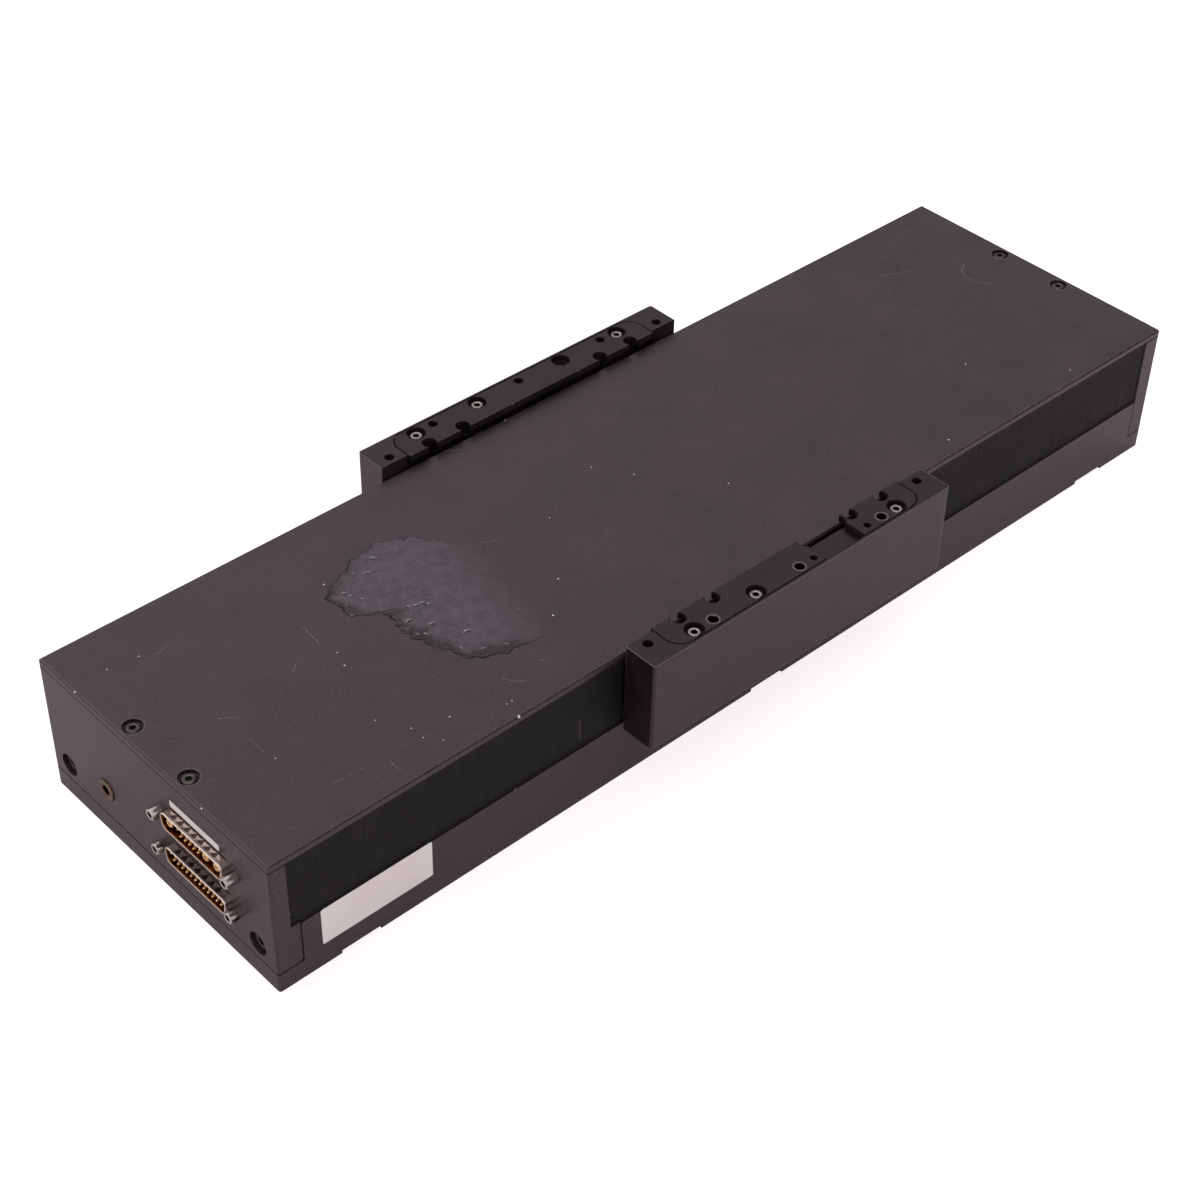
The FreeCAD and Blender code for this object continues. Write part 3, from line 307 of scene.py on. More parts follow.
def ground_steel(name, dark, pale, smooth, lay=(8, 900, 900)):
    """Ground bright steel: fine marks along the lay, slight cloud, a painted highlight along its edges and
    painted shade down its holes.
    """
    made, tree, shader = finish(name, Metallic=1.0)
    marks = noise(tree, stretched(tree, place(tree), lay), 1.0, 4, 0.7)
    rounded, rim = edge_wear_and_light(tree, 0.3 * MM)
    # painted highlight: the edges brightened
    tone = tint(tree, rim, clouded(tree, marks, dark, pale), colour(226, 224, 222))
    shine = spread(tree, marks, 0.25, 0.75, smooth - 0.07, smooth + 0.1)
    feed(tree, shader, Base_Color=recess_shaded(tree, tone), Roughness=shine)
    rough_skin(tree, shader, marks, 0.08, 0.03 * MM, rounded)
    return made


def moulded(name, dark, pale, smooth, grain=1800):
    """Moulded plastic or rubber: a pebbled skin, duller in its hollows."""
    made, tree, shader = finish(name)
    where = place(tree)
    pebble = noise(tree, where, grain, 3, 0.6)
    tone = clouded(tree, noise(tree, where, 70, 3), dark, pale)
    feed(tree, shader, Base_Color=tone,
         Roughness=spread(tree, pebble, 0.3, 0.7, smooth + 0.08, smooth - 0.05))
    rough_skin(tree, shader, pebble, 0.25, 0.06 * MM)
    return made


def potted_coil():
    """Windings set in resin: bands of copper across Y, a little crooked, under a clear gloss coat."""
    made, tree, shader = finish("potted_coil", Coat_Weight=0.5, Coat_Roughness=0.12)
    inputs = {"Vector": place(tree), "Scale": 380.0, "Distortion": 0.6, "Detail": 2.0}
    windings = add(tree, "TexWave", inputs, bands_direction="Y").outputs["Fac"]
    feed(tree, shader, Base_Color=tint(tree, windings, colour(92, 52, 26), colour(168, 104, 58)),
         Roughness=spread(tree, windings, 0, 1, 0.45, 0.3))
    rough_skin(tree, shader, windings, 0.3, 0.1 * MM)
    return made


def ruled_scale():
    """A steel tape ruled across X: bands of a bright yellowish tone on a dull one."""
    made, tree, shader = finish("ruled_scale", Metallic=0.9)
    ruling = add(tree, "TexWave", {"Vector": place(tree), "Scale": 800.0}).outputs["Fac"]
    feed(tree, shader, Base_Color=tint(tree, ruling, colour(120, 116, 100), colour(206, 196, 158)),
         Roughness=spread(tree, ruling, 0, 1, 0.34, 0.18))
    return made


coat(ground_steel("ground_rail_steel", colour(150, 150, 152), colour(188, 188, 190), 0.24),
     "near_rail", "far_rail")
coat(ground_steel("hardened_truck_steel", colour(132, 132, 134), colour(168, 168, 168), 0.30),
     "near_connector_end_truck", "near_plain_end_truck", "far_connector_end_truck", "far_plain_end_truck")
coat(ground_steel("nickelled_yoke", colour(142, 138, 128), colour(172, 166, 154), 0.34, lay=(60, 60, 60)),
     "magnet_yoke")
coat(ground_steel("plated_magnet", colour(170, 166, 158), colour(196, 192, 184), 0.20, lay=(120, 120, 120)),
     "lower_magnets", "upper_magnets")
coat(ground_steel("bent_flag_steel", colour(158, 158, 160), colour(190, 190, 192), 0.30), "limit_flags")
coat(black_screw, "truck_screws", "forcer_screws", "riser_screws")
coat(moulded("black_moulding", colour(22, 22, 23), colour(30, 30, 31), 0.42),
     "connector_end_limit_sensor", "plain_end_limit_sensor", "encoder_read_head")
coat(moulded("bumper_rubber", colour(40, 34, 30), colour(54, 46, 40), 0.55, grain=900),
     "connector_end_bumper", "plain_end_bumper")
coat(potted_coil(), "forcer_coil")
coat(ruled_scale(), "encoder_scale")
coat(anodised("anodised_saddle", SKIN_DARK, colour(52, 44, 48), gloss=0.74)[0],
     "carriage_saddle", "forcer_bar")

# Side seals: extruded black rubber strips, ribbed upright, that hang from the cover, and narrow strips
# stuck along the walls. A soft lip closes the slit between them.
RIB_PITCH, RIB_DEPTH, RIB_UNEVEN, RIB_BEATS = 1.6, 0.16, 0.16, (2.3, 0.41)
# how deep the groove is at four places from one crest to the next
RIB_PROFILE = [0.0, 0.4, 1.0, 0.4]
SEAL_ENDS = (-253.0, 250.7)
LIP_TOP, LIP_FOOT = 35.75, 31.45
# outline of each strip, mm from the middle plane and up, and how much of the ribs shows there
SEAL_OUTLINE = np.array([
    (74.46, 35.7, 1), (74.5, 35.9, 1), (74.5, 49.0, 1), (74.5, 61.6, 1), (74.5, 62.4, 0),
    (74.5, 64.5, 0), (66.0, 64.5, 0), (66.0, 62.5, 0), (72.5, 62.5, 0), (72.5, 35.7, 0)])
LIP_OUTLINE = np.array([
    (74.46, LIP_TOP, 1), (74.48, 34.4, 1), (74.48, 32.9, 1), (74.46, LIP_FOOT, 1),
    (73.5, LIP_FOOT, 0), (73.5, 32.9, 0), (73.5, 34.4, 0), (73.5, LIP_TOP, 0)])
# at its connector end the lip runs down past the wall strip into the plate's rebate
REBATE_END, REBATE_FLOOR = -248.8, 30.05
# a pale crease in the near seal: from, to, and how wide
CREASE = (-109.4, -74.5, 34.5), (-109.4, -74.5, 45.0), 0.5

seal_length = SEAL_ENDS[1] - SEAL_ENDS[0]
rib_count = int(seal_length / RIB_PITCH)
rib_number = np.arange(rib_count)
rib_width = 1 + RIB_UNEVEN * np.sin(RIB_BEATS[0] * rib_number) * np.sin(RIB_BEATS[1] * rib_number)
rib_edge = np.append(0, np.cumsum(rib_width))
rib_place = np.arange(rib_count * len(RIB_PROFILE) + 1) / len(RIB_PROFILE)
rib_share = np.interp(rib_place, np.arange(rib_count + 1), rib_edge / rib_edge[-1])
rib_step = SEAL_ENDS[0] + seal_length * rib_share
rib_cut = RIB_DEPTH * np.append(np.tile(RIB_PROFILE, rib_count), RIB_PROFILE[0])


def ribbed(outline):
    """The outline at every step along the strip, cut back by the ribs' depth where they show."""
    across = outline[:, 0] - rib_cut[:, None] * outline[:, 2]
    return np.stack([across, np.broadcast_to(outline[:, 1], across.shape)], -1)


def drawn(outline, side):
    """A strip: its outline, across and up, carried along X through the steps and mirrored to a side."""
    along = np.broadcast_to(rib_step[:, None], outline.shape[:2])
    loops = np.stack([along, side * outline[..., 0], outline[..., 1]], -1)
    return loft(loops if side > 0 else loops[:, ::-1])


def scratch(tree, where, start, end, width):
    """How much a point lies on a straight scratch: 1 on it, falling to 0 as the distance to the nearest
    point of the line grows to its width."""
    start, end = np.array(start) * MM, np.array(end) * MM
    run = end - start
    away = vector(tree, "SUBTRACT", where, start.tolist())
    share = vector(tree, "DOT_PRODUCT", away, (run / (run @ run)).tolist())
    nearest = vector(tree, "SCALE", run.tolist(), Scale=spread(tree, share, 0, 1))
    return spread(tree, vector(tree, "DISTANCE", away, nearest), 0.3 * width * MM, width * MM, 1, 0)


def seal_rubber():
    """Black rubber: streaks down the ribs, a grey bloom in patches, and one pale crease."""
    made, tree, shader = finish("seal_rubber", Specular_IOR_Level=0.22)
    where = place(tree)
    streak = noise(tree, stretched(tree, where, (900, 900, 40)), 1.0, 3)
    bloom = noise(tree, where, 60, 4, 0.6)
    tone = tint(tree, spread(tree, streak, 0.3, 0.75), colour(9, 7, 8), colour(15, 12, 13))
    tone = tint(tree, spread(tree, bloom, 0.5, 0.8, 0, 0.3), tone, colour(30, 26, 28))
    tone = tint(tree, scratch(tree, where, *CREASE), tone, colour(64, 58, 60))
    feed(tree, shader, Base_Color=tone, Roughness=spread(tree, streak, 0.25, 0.75, 0.56, 0.72))
    rough_skin(tree, shader, streak, 0.15, 0.05 * MM)
    return made


seal_outline, lip_outline = ribbed(SEAL_OUTLINE), ribbed(LIP_OUTLINE)
lip_dips = (rib_step < REBATE_END)[:, None] & (LIP_OUTLINE[:, 1] <= LIP_FOOT)
lip_outline[..., 1] = np.where(lip_dips, REBATE_FLOOR, lip_outline[..., 1])

strip_rubber = seal_rubber()
for side_name, side in (("near", -1), ("far", 1)):
    piece(f"{side_name}_ribbed_seal", drawn(seal_outline, side), strip_rubber, "frame", "seal",
          f"{side_name}_upper_seal", sharp=50)
    piece(f"{side_name}_slit_lip", drawn(lip_outline, side), strip_rubber, "frame", "seal", sharp=60)
coat(strip_rubber, "near_lower_seal", "far_lower_seal")

# Top cover: a flat aluminium plate with broken edges, anodised like the body and held down over the seals
# by four button head screws. It carries fine scratches, a faint ring where something stood, and dust.
COVER_TOP = 67.5
# where a scratch starts and ends, and how wide it is
SCRATCHES = [((-171.9, 22.2), (-173.2, 8.8), 0.30), ((-89.0, 17.2), (-77.9, 12.3), 0.30),
             ((-132.5, -54.0), (-130.1, -58.2), 0.28), ((-130.1, -58.2), (-126.1, -61.6), 0.34),
             ((-114.3, -55.8), (-112.5, -58.2), 0.25), ((195.6, 43.6), (209.5, 37.7), 0.30),
             ((-225.2, 45.9), (-218.8, 47.9), 0.22), ((-228.3, 0.3), (-221.9, -4.5), 0.25),
             ((-226.2, -16.6), (-226.1, -27.0), 0.18), ((-191.1, 2.7), (-187.1, 5.7), 0.22),
             ((-194.1, -61.3), (-193.8, -68.1), 0.22), ((-217.7, -56.2), (-203.7, -57.4), 0.18),
             ((-54.5, 74.0), (-49.6, 71.0), 0.40), ((-36.8, 74.4), (-33.0, 74.1), 0.40)]
# where a speck lies, and its radius
SPECKS = [(-149.7, 36.8, 0.40), (-171.2, 0.3, 0.32), (-173.7, -7.6, 0.38), (-75.6, -23.5, 0.40),
          (-92.5, -39.2, 0.45), (-97.4, -31.5, 0.36), (-51.5, 8.8, 0.32), (169.0, -32.9, 0.38),
          (202.1, -67.8, 0.34), (118.4, -66.4, 0.42), (-230.7, 49.9, 0.32), (-225.0, -31.5, 0.28),
          (-161.7, -57.3, 0.34), (-171.8, -65.7, 0.28), (22.5, -24.3, 0.34), (-3.9, 7.3, 0.34),
          (-14.4, 23.1, 0.32), (-184.2, -40.0, 0.30), (-176.7, -52.5, 0.30), (-176.5, -59.5, 0.30),
          (-244.3, 51.7, 0.32), (-138.0, -66.3, 0.30), (-140.7, -66.4, 0.26), (-20.0, 74.0, 0.50)]
EDGE_NICKS, NICK_DROP = [(-260.7, 49.3, 0.5), (-260.8, -34.4, 0.5), (-141.6, -74.6, 0.7)], 0.3
RING_MARK, RING_RADIUS = np.array((237.0, 13.1, COVER_TOP)), 11.0
HAIR_TURNS, HAIR_STRETCH = (0.5, -0.9, 1.9), (30, 1500, 30)


def speck(tree, where, centre, radius):
    """1 about the centre, falling from six tenths of the radius to 0 at the radius."""
    gap = vector(tree, "DISTANCE", where, (np.array(centre) * MM).tolist())
    return spread(tree, gap, 0.6 * radius * MM, radius * MM, 1, 0)


def strongest(tree, masks):
    """The strongest of several masks at each point."""
    best = masks[0]
    for mask in masks[1:]:
        best = reckon(tree, "MAXIMUM", best, mask)
    return best


def marked_cover():
    """The body's skin with patchy pale marks, the strongest of scratches, hairlines and part of a ring,
    under pale specks, the strongest of dust, edge nicks and lint."""
    # painted shade on the cover's edges at a share of 0.2, and a painted highlight at 0.35
    made, tree, shader = anodised("anodised_cover", SKIN_DARK, SKIN_PALE, gloss=0.76, edge=0.2, edge_highlight=0.35)
    where = place(tree)
    lines = strongest(tree, [scratch(tree, where, (*start, COVER_TOP), (*end, COVER_TOP), width)
                             for start, end, width in SCRATCHES])
    hairs = strongest(tree, [
        spread(tree, noise(tree, stretched(tree, where, HAIR_STRETCH, turn), 1.0, 1), 0.735, 0.80)
        for turn in HAIR_TURNS])
    out = vector(tree, "SUBTRACT", where, (RING_MARK * MM).tolist())
    gap = reckon(tree, "SUBTRACT", vector(tree, "LENGTH", out), RING_RADIUS * MM)
    ring = times(tree, spread(tree, reckon(tree, "ABSOLUTE", gap), 0.15 * MM, 0.45 * MM, 0.6, 0),
                 spread(tree, add(tree, "SeparateXYZ", {0: out}).outputs["X"], 2.0 * MM, -6.0 * MM))
    marks = strongest(tree, [lines, times(tree, hairs, 0.10), ring])
    patchy = spread(tree, noise(tree, where, 500, 3), 0.3, 0.6, 0.05, 0.55)
    spots = [((x, y, COVER_TOP), radius) for x, y, radius in SPECKS]
    spots += [((x, y, COVER_TOP - NICK_DROP), radius) for x, y, radius in EDGE_NICKS]
    dust = strongest(tree, [speck(tree, where, *spot) for spot in spots])
    # lint: a small dot in the middle of some cells of a scattered pattern
    cells = add(tree, "TexVoronoi", {"Vector": where, "Scale": 70.0}).outputs
    lint = times(tree, spread(tree, cells["Distance"], 0.008, 0.016, 1, 0),
                 spread(tree, cells["Color"], 0.55, 0.75))
    dust = reckon(tree, "MAXIMUM", dust, times(tree, lint, 0.35))
    tone = shader.inputs["Base Color"].links[0].from_socket
    tone = tint(tree, times(tree, marks, patchy), tone, colour(122, 115, 116))
    feed(tree, shader, Base_Color=tint(tree, dust, tone, colour(232, 228, 224)))
    return made


coat(marked_cover(), "top_cover")

COVER_SCREW = socket_head(radius=3.3, height=1.7, socket=2.5, rim=1.25, depth=1.0)
COVER_SCREW_X, COVER_SCREW_Y, COVER_SEAT = 255, 18.3, 65.3
cover_screws = [turned(COVER_SCREW, (end * COVER_SCREW_X, side * COVER_SCREW_Y, COVER_SEAT), (0, 0, 1),
                       bore=SOCKET_ROWS) for end in (-1, 1) for side in (-1, 1)]
worn_screw = blackened("worn_black_oxide", colour(64, 55, 54), colour(104, 92, 90), 0.28)
piece("cover_screw_heads", gathered(cover_screws), worn_screw, "frame", "dark_steel", "cover_screws")

# Dried film on the cover: what is left of a stuck-on sheet, a skin a tenth of a millimetre thick with a
# curled edge on one side, darkened by a painted shadow, wrinkles and blisters, thinning out to nothing on
# the other.
FILM_CENTRE = np.array((-119.0, 1.0))
# its outline, once round
FILM_EDGE = np.array([
    (-154.5, 28.9), (-149.0, 33.9), (-143.0, 36.7), (-133.6, 40.3), (-127.6, 41.5), (-122.2, 43.4),
    (-118.3, 44.7), (-111.0, 41.1), (-102.3, 35.4), (-97.5, 29.4), (-93.7, 24.2), (-86.0, 17.2),
    (-80.0, 8.0), (-80.9, -7.5), (-90.1, -28.5), (-97.6, -39.6), (-105.0, -45.3), (-112.4, -44.7),
    (-120.9, -44.0), (-129.3, -40.9), (-134.2, -34.9), (-137.9, -27.4), (-140.3, -23.6), (-141.9, -16.2),
    (-142.6, -10.4), (-145.3, -6.4), (-142.8, -2.5), (-141.8, 2.7), (-142.3, 7.6), (-147.9, 9.6),
    (-150.7, 12.2), (-155.0, 14.0), (-153.0, 23.1)])
# waves of the ragged edge: how many to half a turn, how deep, and where they start
FILM_RAGS = [(5, 1.3, 0.4), (9, 1.2, 1.9), (16, 1.0, 0.7), (27, 0.6, 2.6), (43, 0.35, 1.1), (71, 0.25, 0.2)]
# where along X the film fades, how far that line leans, and over what length
FADE_MIDDLE, FADE_LEAN, FADE_LENGTH = -99.0, 0.2, 30.0
# the side on which it is damp, and the widths of the damp strip, the edge's bead and the creased strip
DAMP_SIDE, DAMP_WIDTH, BEAD_WIDTH, CREASED_WIDTH = np.radians(-140), 6.5, 0.8, 11
SKIN_HEIGHT, BEAD_HEIGHT, LUMP_HEIGHT, BLISTER_HEIGHT = 0.05, 0.10, 0.03, 0.25
# how far the thinnest film stands off the cover, and how far its edge goes into it
FILM_LIFT, FILM_SINK = 0.012, 0.05
# blisters and short wrinkles: where, and how long
BLISTERS = np.array([
    (-124.1, 37.0, 2.2), (-131.8, 31.2, 2.4), (-136.2, 34.5, 0.8), (-147.2, 27.4, 1.2), (-143.7, 19.5, 0.8),
    (-153.2, 14.0, 0.8), (-138.2, -3.2, 2.2), (-132.5, 3.0, 1.4), (-129.9, 2.1, 1.6), (-126.8, 1.6, 1.4),
    (-125.5, -0.5, 1.0), (-132.4, -10.7, 1.8), (-138.1, -13.9, 1.2), (-140.5, -12.3, 1.2),
    (-124.7, -23.3, 2.2), (-132.8, -29.7, 1.0), (-126.5, -35.8, 1.2), (-117.7, -40.0, 1.4),
    (-100.5, -27.3, 0.8), (-146.0, 24.0, 0.7)])
WRINKLE_TURN, WRINKLE_SWING, WRINKLE_BOW = np.radians(-44), 0.8, 0.35
# how wide a blister's crown is, and how far aside and how wide the painted shadow beside it lies
CROWN_WIDTH, SHADOW_ASIDE, SHADOW_WIDTH = 0.42, 0.75, 0.5


def blistered(flat):
    """Crowns of the blisters and the painted shadows beside them: a bell along each blister's bent axis times
    a bell across it, or across a line beside it, summed over all the blisters."""
    number, length = np.arange(len(BLISTERS)), BLISTERS[:, 2]
    turn = WRINKLE_TURN + WRINKLE_SWING * np.sin(2.4 * number)
    gap = flat[..., None, :] - BLISTERS[:, :2]
    along = gap[..., 0] * np.cos(turn) + gap[..., 1] * np.sin(turn)
    aside = gap[..., 1] * np.cos(turn) - gap[..., 0] * np.sin(turn)
    aside = aside - WRINKLE_BOW * np.sin(1.7 * number) * along ** 2 / length
    bell = np.exp(-(along / (0.75 * length)) ** 2)
    crown = (bell * np.exp(-(aside / CROWN_WIDTH) ** 2)).sum(-1)
    hollow = (bell * np.exp(-((aside + SHADOW_ASIDE) / SHADOW_WIDTH) ** 2)).sum(-1)
    return crown, hollow


def film_surface(around=640, rings=110):
    """A star-shaped sheet: the edge's distance from the centre, read off by angle and cut back by cusped
    waves of many lengths, scaled ring by ring. Its height is a thin skin with a bead along the edge,
    lumps and blisters, all multiplied by a share that falls to nothing towards the faded side."""
    spoke = FILM_EDGE - FILM_CENTRE
    bearing = np.arctan2(spoke[:, 1], spoke[:, 0])
    angle = np.linspace(-np.pi, np.pi, around, endpoint=False)
    reach = np.interp(angle, bearing, np.hypot(*spoke.T), period=2 * np.pi)
    waves, depth, start = np.array(FILM_RAGS).T[:, :, None]
    reach = reach + (depth * (0.64 - np.abs(np.sin(waves * angle + start)))).sum(0)
    share = np.linspace(1, 0.004, rings)[:, None]
    flat = FILM_CENTRE + (share * reach)[..., None] * np.stack([np.cos(angle), np.sin(angle)], -1)
    body = np.clip(0.5 - (flat[..., 0] - FADE_MIDDLE - FADE_LEAN * flat[..., 1]) / FADE_LENGTH, 0, 1)
    body = body * body * (3 - 2 * body)
    blister_body = np.clip(body * 2, 0, 1)
    inward = (1 - share) * reach
    bead = np.exp(-(inward / BEAD_WIDTH) ** 2)
    damp_width = DAMP_WIDTH + 1.5 * np.sin(7 * angle) + np.sin(17 * angle)
    damp = np.exp(-(inward / damp_width) ** 2) * np.clip(0.7 + 1.1 * np.cos(angle - DAMP_SIDE), 0.1, 1)
    crease = np.exp(-(inward / CREASED_WIDTH) ** 2) * np.clip(-np.cos(angle - 0.1), 0, 1)
    lumps = np.sin(flat @ (1.7, 0.8)) * np.sin(flat @ (-0.7, 1.9)) * 0.5
    crown, hollow = blistered(flat)
    height = body * (SKIN_HEIGHT + BEAD_HEIGHT * bead + LUMP_HEIGHT * lumps)
    height = np.maximum(height + BLISTER_HEIGHT * crown * blister_body, 0)
    top = np.concatenate([flat, (COVER_TOP + FILM_LIFT + height)[..., None]], -1)
    foot = np.concatenate([flat[:1], np.full((1, around, 1), COVER_TOP - FILM_SINK)], -1)
    shares = {"film_body": body, "film_line": bead * body, "film_damp": damp * body,
              "film_crease": crease * body, "film_crown": crown * blister_body,
              "film_hollow": hollow * blister_body}
    shares = {name: np.concatenate([value[:1], value]).ravel() for name, value in shares.items()}
    return *loft(np.concatenate([foot, top])), shares


def film_skin():
    """A cloudy skin over the cover's own tone, as thick as the film's body. It is soaked dark along the damp
    side.
    Near the curled edge its creases carry painted light and shade and the edge a painted shadow; a painted
    shadow lies beside each blister and a painted highlight on its crown."""
    made, tree, shader = finish("dried_film", Specular_IOR_Level=0.76, Specular_Tint=SKIN_SHEEN)
    where = place(tree)
    body, line, damp, crease, crown, hollow = (
        kept_share(tree, "film_" + name) for name in ("body", "line", "damp", "crease", "crown", "hollow"))
    cloud = noise(tree, where, 260, 6, 0.75)
    mottle = spread(tree, noise(tree, where, SKIN_MOTTLE, 4, 0.7), 0.36, 0.64)
    haze = spread(tree, noise(tree, where, 330, 5, 0.7), 0.36, 0.64, 0.28, 0.0)
    grain = spread(tree, mottle, 0, 1, 0.18, 0.0)
    skin = clouded(tree, cloud, colour(28, 24, 28), colour(76, 68, 75))
    skin = tint(tree, times(tree, mottle, 0.3), skin, colour(78, 74, 81))
    tone = tint(tree, body, tint(tree, mottle, SKIN_DARK, SKIN_PALE), skin)
    soak = reckon(tree, "ADD", damp, spread(tree, cloud, 0.3, 0.7, -0.3, 0.3))
    soak = times(tree, spread(tree, soak, 0.2, 0.75, 0, 0.85), body)
    tone = tint(tree, soak, tone, colour(5, 3, 3))
    # two sets of thin crooked lines near the curled edge, the painted shade and painted highlight of creases,
    # the dark ones beside the pale ones
    for scale, crease_light_and_shade in ((170, colour(6, 4, 4)), (140, colour(92, 86, 88))):
        inputs = {"Vector": where, "Scale": scale, "Detail": 3.0, "Distortion": 1.4}
        crooked = reckon(tree, "SUBTRACT", add(tree, "TexNoise", inputs).outputs["Fac"], 0.5)
        crooked = spread(tree, reckon(tree, "ABSOLUTE", crooked), 0.006, 0.03, 0.7, 0)
        tone = tint(tree, times(tree, crooked, crease), tone, crease_light_and_shade)
    # painted shadow along the curled edge, dark and dull
    edge_shadow = times(tree, line, spread(tree, noise(tree, where, 190, 3), 0.36, 0.58, 0.10, 0.85))
    tone = tint(tree, edge_shadow, tone, colour(6, 4, 4))
    # painted shadow beside each blister
    dip = spread(tree, hollow, 0.1, 0.9, 0, 0.75)
    tone = tint(tree, dip, tone, colour(10, 8, 8))
    # painted highlight on the blisters' crowns
    crown_highlight = times(tree, spread(tree, crown, 0.12, 0.8),
                  spread(tree, noise(tree, where, 1500, 4, 0.8), 0.44, 0.60))
    tone = tint(tree, crown_highlight, tone, colour(178, 171, 172))
    # where the film is dark, from its stain or from painted shade, its reflection is dulled as well
    dull = strongest(tree, [edge_shadow, dip, times(tree, soak, 0.36), times(tree, haze, body), grain])
    feed(tree, shader, Base_Color=tone, Metallic=reckon(tree, "SUBTRACT", dull, crown_highlight),
         Roughness=spread(tree, body, 0, 1, 0.41, 0.30))
    rough_skin(tree, shader, noise(tree, where, 900, 4), 0.12, 0.05 * MM)
    return made


piece("dried_film", film_surface(), film_skin(), "frame", "cover", sharp=80)

# Connectors: two plug shells of the 25-way size, drawn from tinned steel with three-cornered dimples
# pressed in, round brown moulded insulators with gold plated pins. The upper one also has three wide
# contacts for power.
CONNECTOR_Y, POWER_Z, SIGNAL_Z = -30.0, 46.5, 27.8
SHELL_HALF_WIDTH, SHELL_HALF_HEIGHT, SHELL_TAPER, SHELL_CORNER = 19.48, 4.18, 0.1763, 2.6
# place along X, out towards -X, and inset from the outline: flare, wall, rim, inside
SHELL_ROWS = [(-258.3, -1.6), (-258.3, -0.9), (-258.8, -0.35), (-259.6, 0.0),
              *[(x, 0.0) for x in np.linspace(-260.1, -264.4, 20)],
              (-264.75, 0.04), (-264.95, 0.16), (-265.0, 0.27), (-264.95, 0.4), (-264.7, 0.5),
              (-262.6, 0.5), (-260.45, 0.5)]
INSIDE_ROWS = 3
DIMPLE_PITCH, DIMPLE_DEPTH, DIMPLE_MIDDLE, DIMPLE_HALF_LENGTH = 4.3, 0.18, -262.3, 1.7
DIMPLE_HALF_WIDTH, DIMPLE_SPLAY, DIMPLE_WIDTHS = 0.95, 0.55, (0.25, 1.7)
# how far along the shell's sides the dimples go, and the inset past which the rim has none
DIMPLE_REACH, DIMPLE_RIM = 15.5, 0.3


def rounded_loop(corners, radius, inset, count):
    """A rounded polygon: an arc about each corner of the core, drawn in by an inset, then spaced evenly."""
    corners = np.array(corners, float)
    before, after = np.roll(corners, 1, 0), np.roll(corners, -1, 0)
    into, out = corners - before, after - corners
    start = np.arctan2(-into[:, 0], into[:, 1])
    sweep = (np.arctan2(-out[:, 0], out[:, 1]) - start) % (2 * np.pi)
    angle = start[:, None] + sweep[:, None] * np.linspace(0, 1, 13)
    arc = np.stack([np.cos(angle), np.sin(angle)], -1)
    line = corners[:, None] + (radius - inset) * arc
    even = (corners[:, None] + radius * arc).reshape(-1, 2)
    run = np.append(0, np.cumsum(np.hypot(*(np.roll(even, -1, 0) - even).T)))
    line = np.append(line.reshape(-1, 2), line[:1, 0], 0)
    step = np.linspace(0, run[-1], count, endpoint=False)
    return np.stack([np.interp(step, run, line[:, 0]), np.interp(step, run, line[:, 1])], -1)


def plug_shell(z, count=420):
    """The shell's outline, a wide flat D, carried out along -X over the rows of place and inset.
    Three-cornered dimples are pressed in along both long sides: the depth is a flat-topped bell along
    and across each dimple, whose width grows towards the rim."""
    core, rise = SHELL_CORNER, SHELL_HALF_HEIGHT - SHELL_CORNER
    top, drop = SHELL_HALF_WIDTH - core, 2 * rise * SHELL_TAPER
    corners = [(-top + drop, -rise), (top - drop, -rise), (top, rise), (-top, rise)]
    outline = np.stack([rounded_loop(corners, core, inset, count) for _, inset in SHELL_ROWS])
    across, up = outline[..., 0], outline[..., 1]
    x, inset = np.array(SHELL_ROWS).T[:, :, None]
    width = np.clip(DIMPLE_HALF_WIDTH - DIMPLE_SPLAY * (x - DIMPLE_MIDDLE), *DIMPLE_WIDTHS)
    aside = (across - DIMPLE_PITCH * np.floor(across / DIMPLE_PITCH + 0.5)) / width
    dimple = np.exp(-aside ** 4 - ((x - DIMPLE_MIDDLE) / DIMPLE_HALF_LENGTH) ** 4)
    dimple = dimple * ((np.abs(across) < DIMPLE_REACH) & (inset < DIMPLE_RIM) & (inset >= 0))
    up = up - np.sign(up) * DIMPLE_DEPTH * dimple
    loops = np.stack([np.broadcast_to(x, across.shape), CONNECTOR_Y - across, z + up], -1)
    inside = np.repeat(np.arange(len(SHELL_ROWS)) >= len(SHELL_ROWS) - INSIDE_ROWS, count)
    return *loft(loops), {"soot": dimple.ravel(), "inside": inside}


def tinned_steel():
    """Cloudy bright tin with painted shade in the dimples, a painted brown reflection of the insulator
    inside, and a painted highlight along the rim, which scatters light as well as mirrors it."""
    made, tree, shader = finish("tinned_shell")
    where = place(tree)
    cloud = noise(tree, where, 320, 5, 0.65)
    rounded, rim = edge_wear_and_light(tree, 0.7 * MM)
    inside = kept_share(tree, "inside")
    dimple = spread(tree, kept_share(tree, "soot"), 0.2, 0.65, 0, 0.9)
    tone = clouded(tree, cloud, colour(204, 188, 180), colour(236, 220, 211))
    # painted shade in the dimples
    tone = tint(tree, dimple, tone, colour(48, 40, 39))
    # painted highlight along the rim
    tone = tint(tree, rim, tone, colour(255, 238, 226))
    # painted reflection: the inside tinted brown for the insulator it mirrors
    tone = tint(tree, inside, tone, colour(126, 82, 50))
    matte_highlight = reckon(tree, "SUBTRACT", rim, inside)
    feed(tree, shader, Base_Color=tone, Metallic=spread(tree, matte_highlight, 0, 1, 1.0, 0.25),
         Roughness=spread(tree, cloud, 0.25, 0.75, 0.14, 0.28))
    rough_skin(tree, shader, noise(tree, where, 2400, 3), 0.1, 0.03 * MM, rounded)
    return made


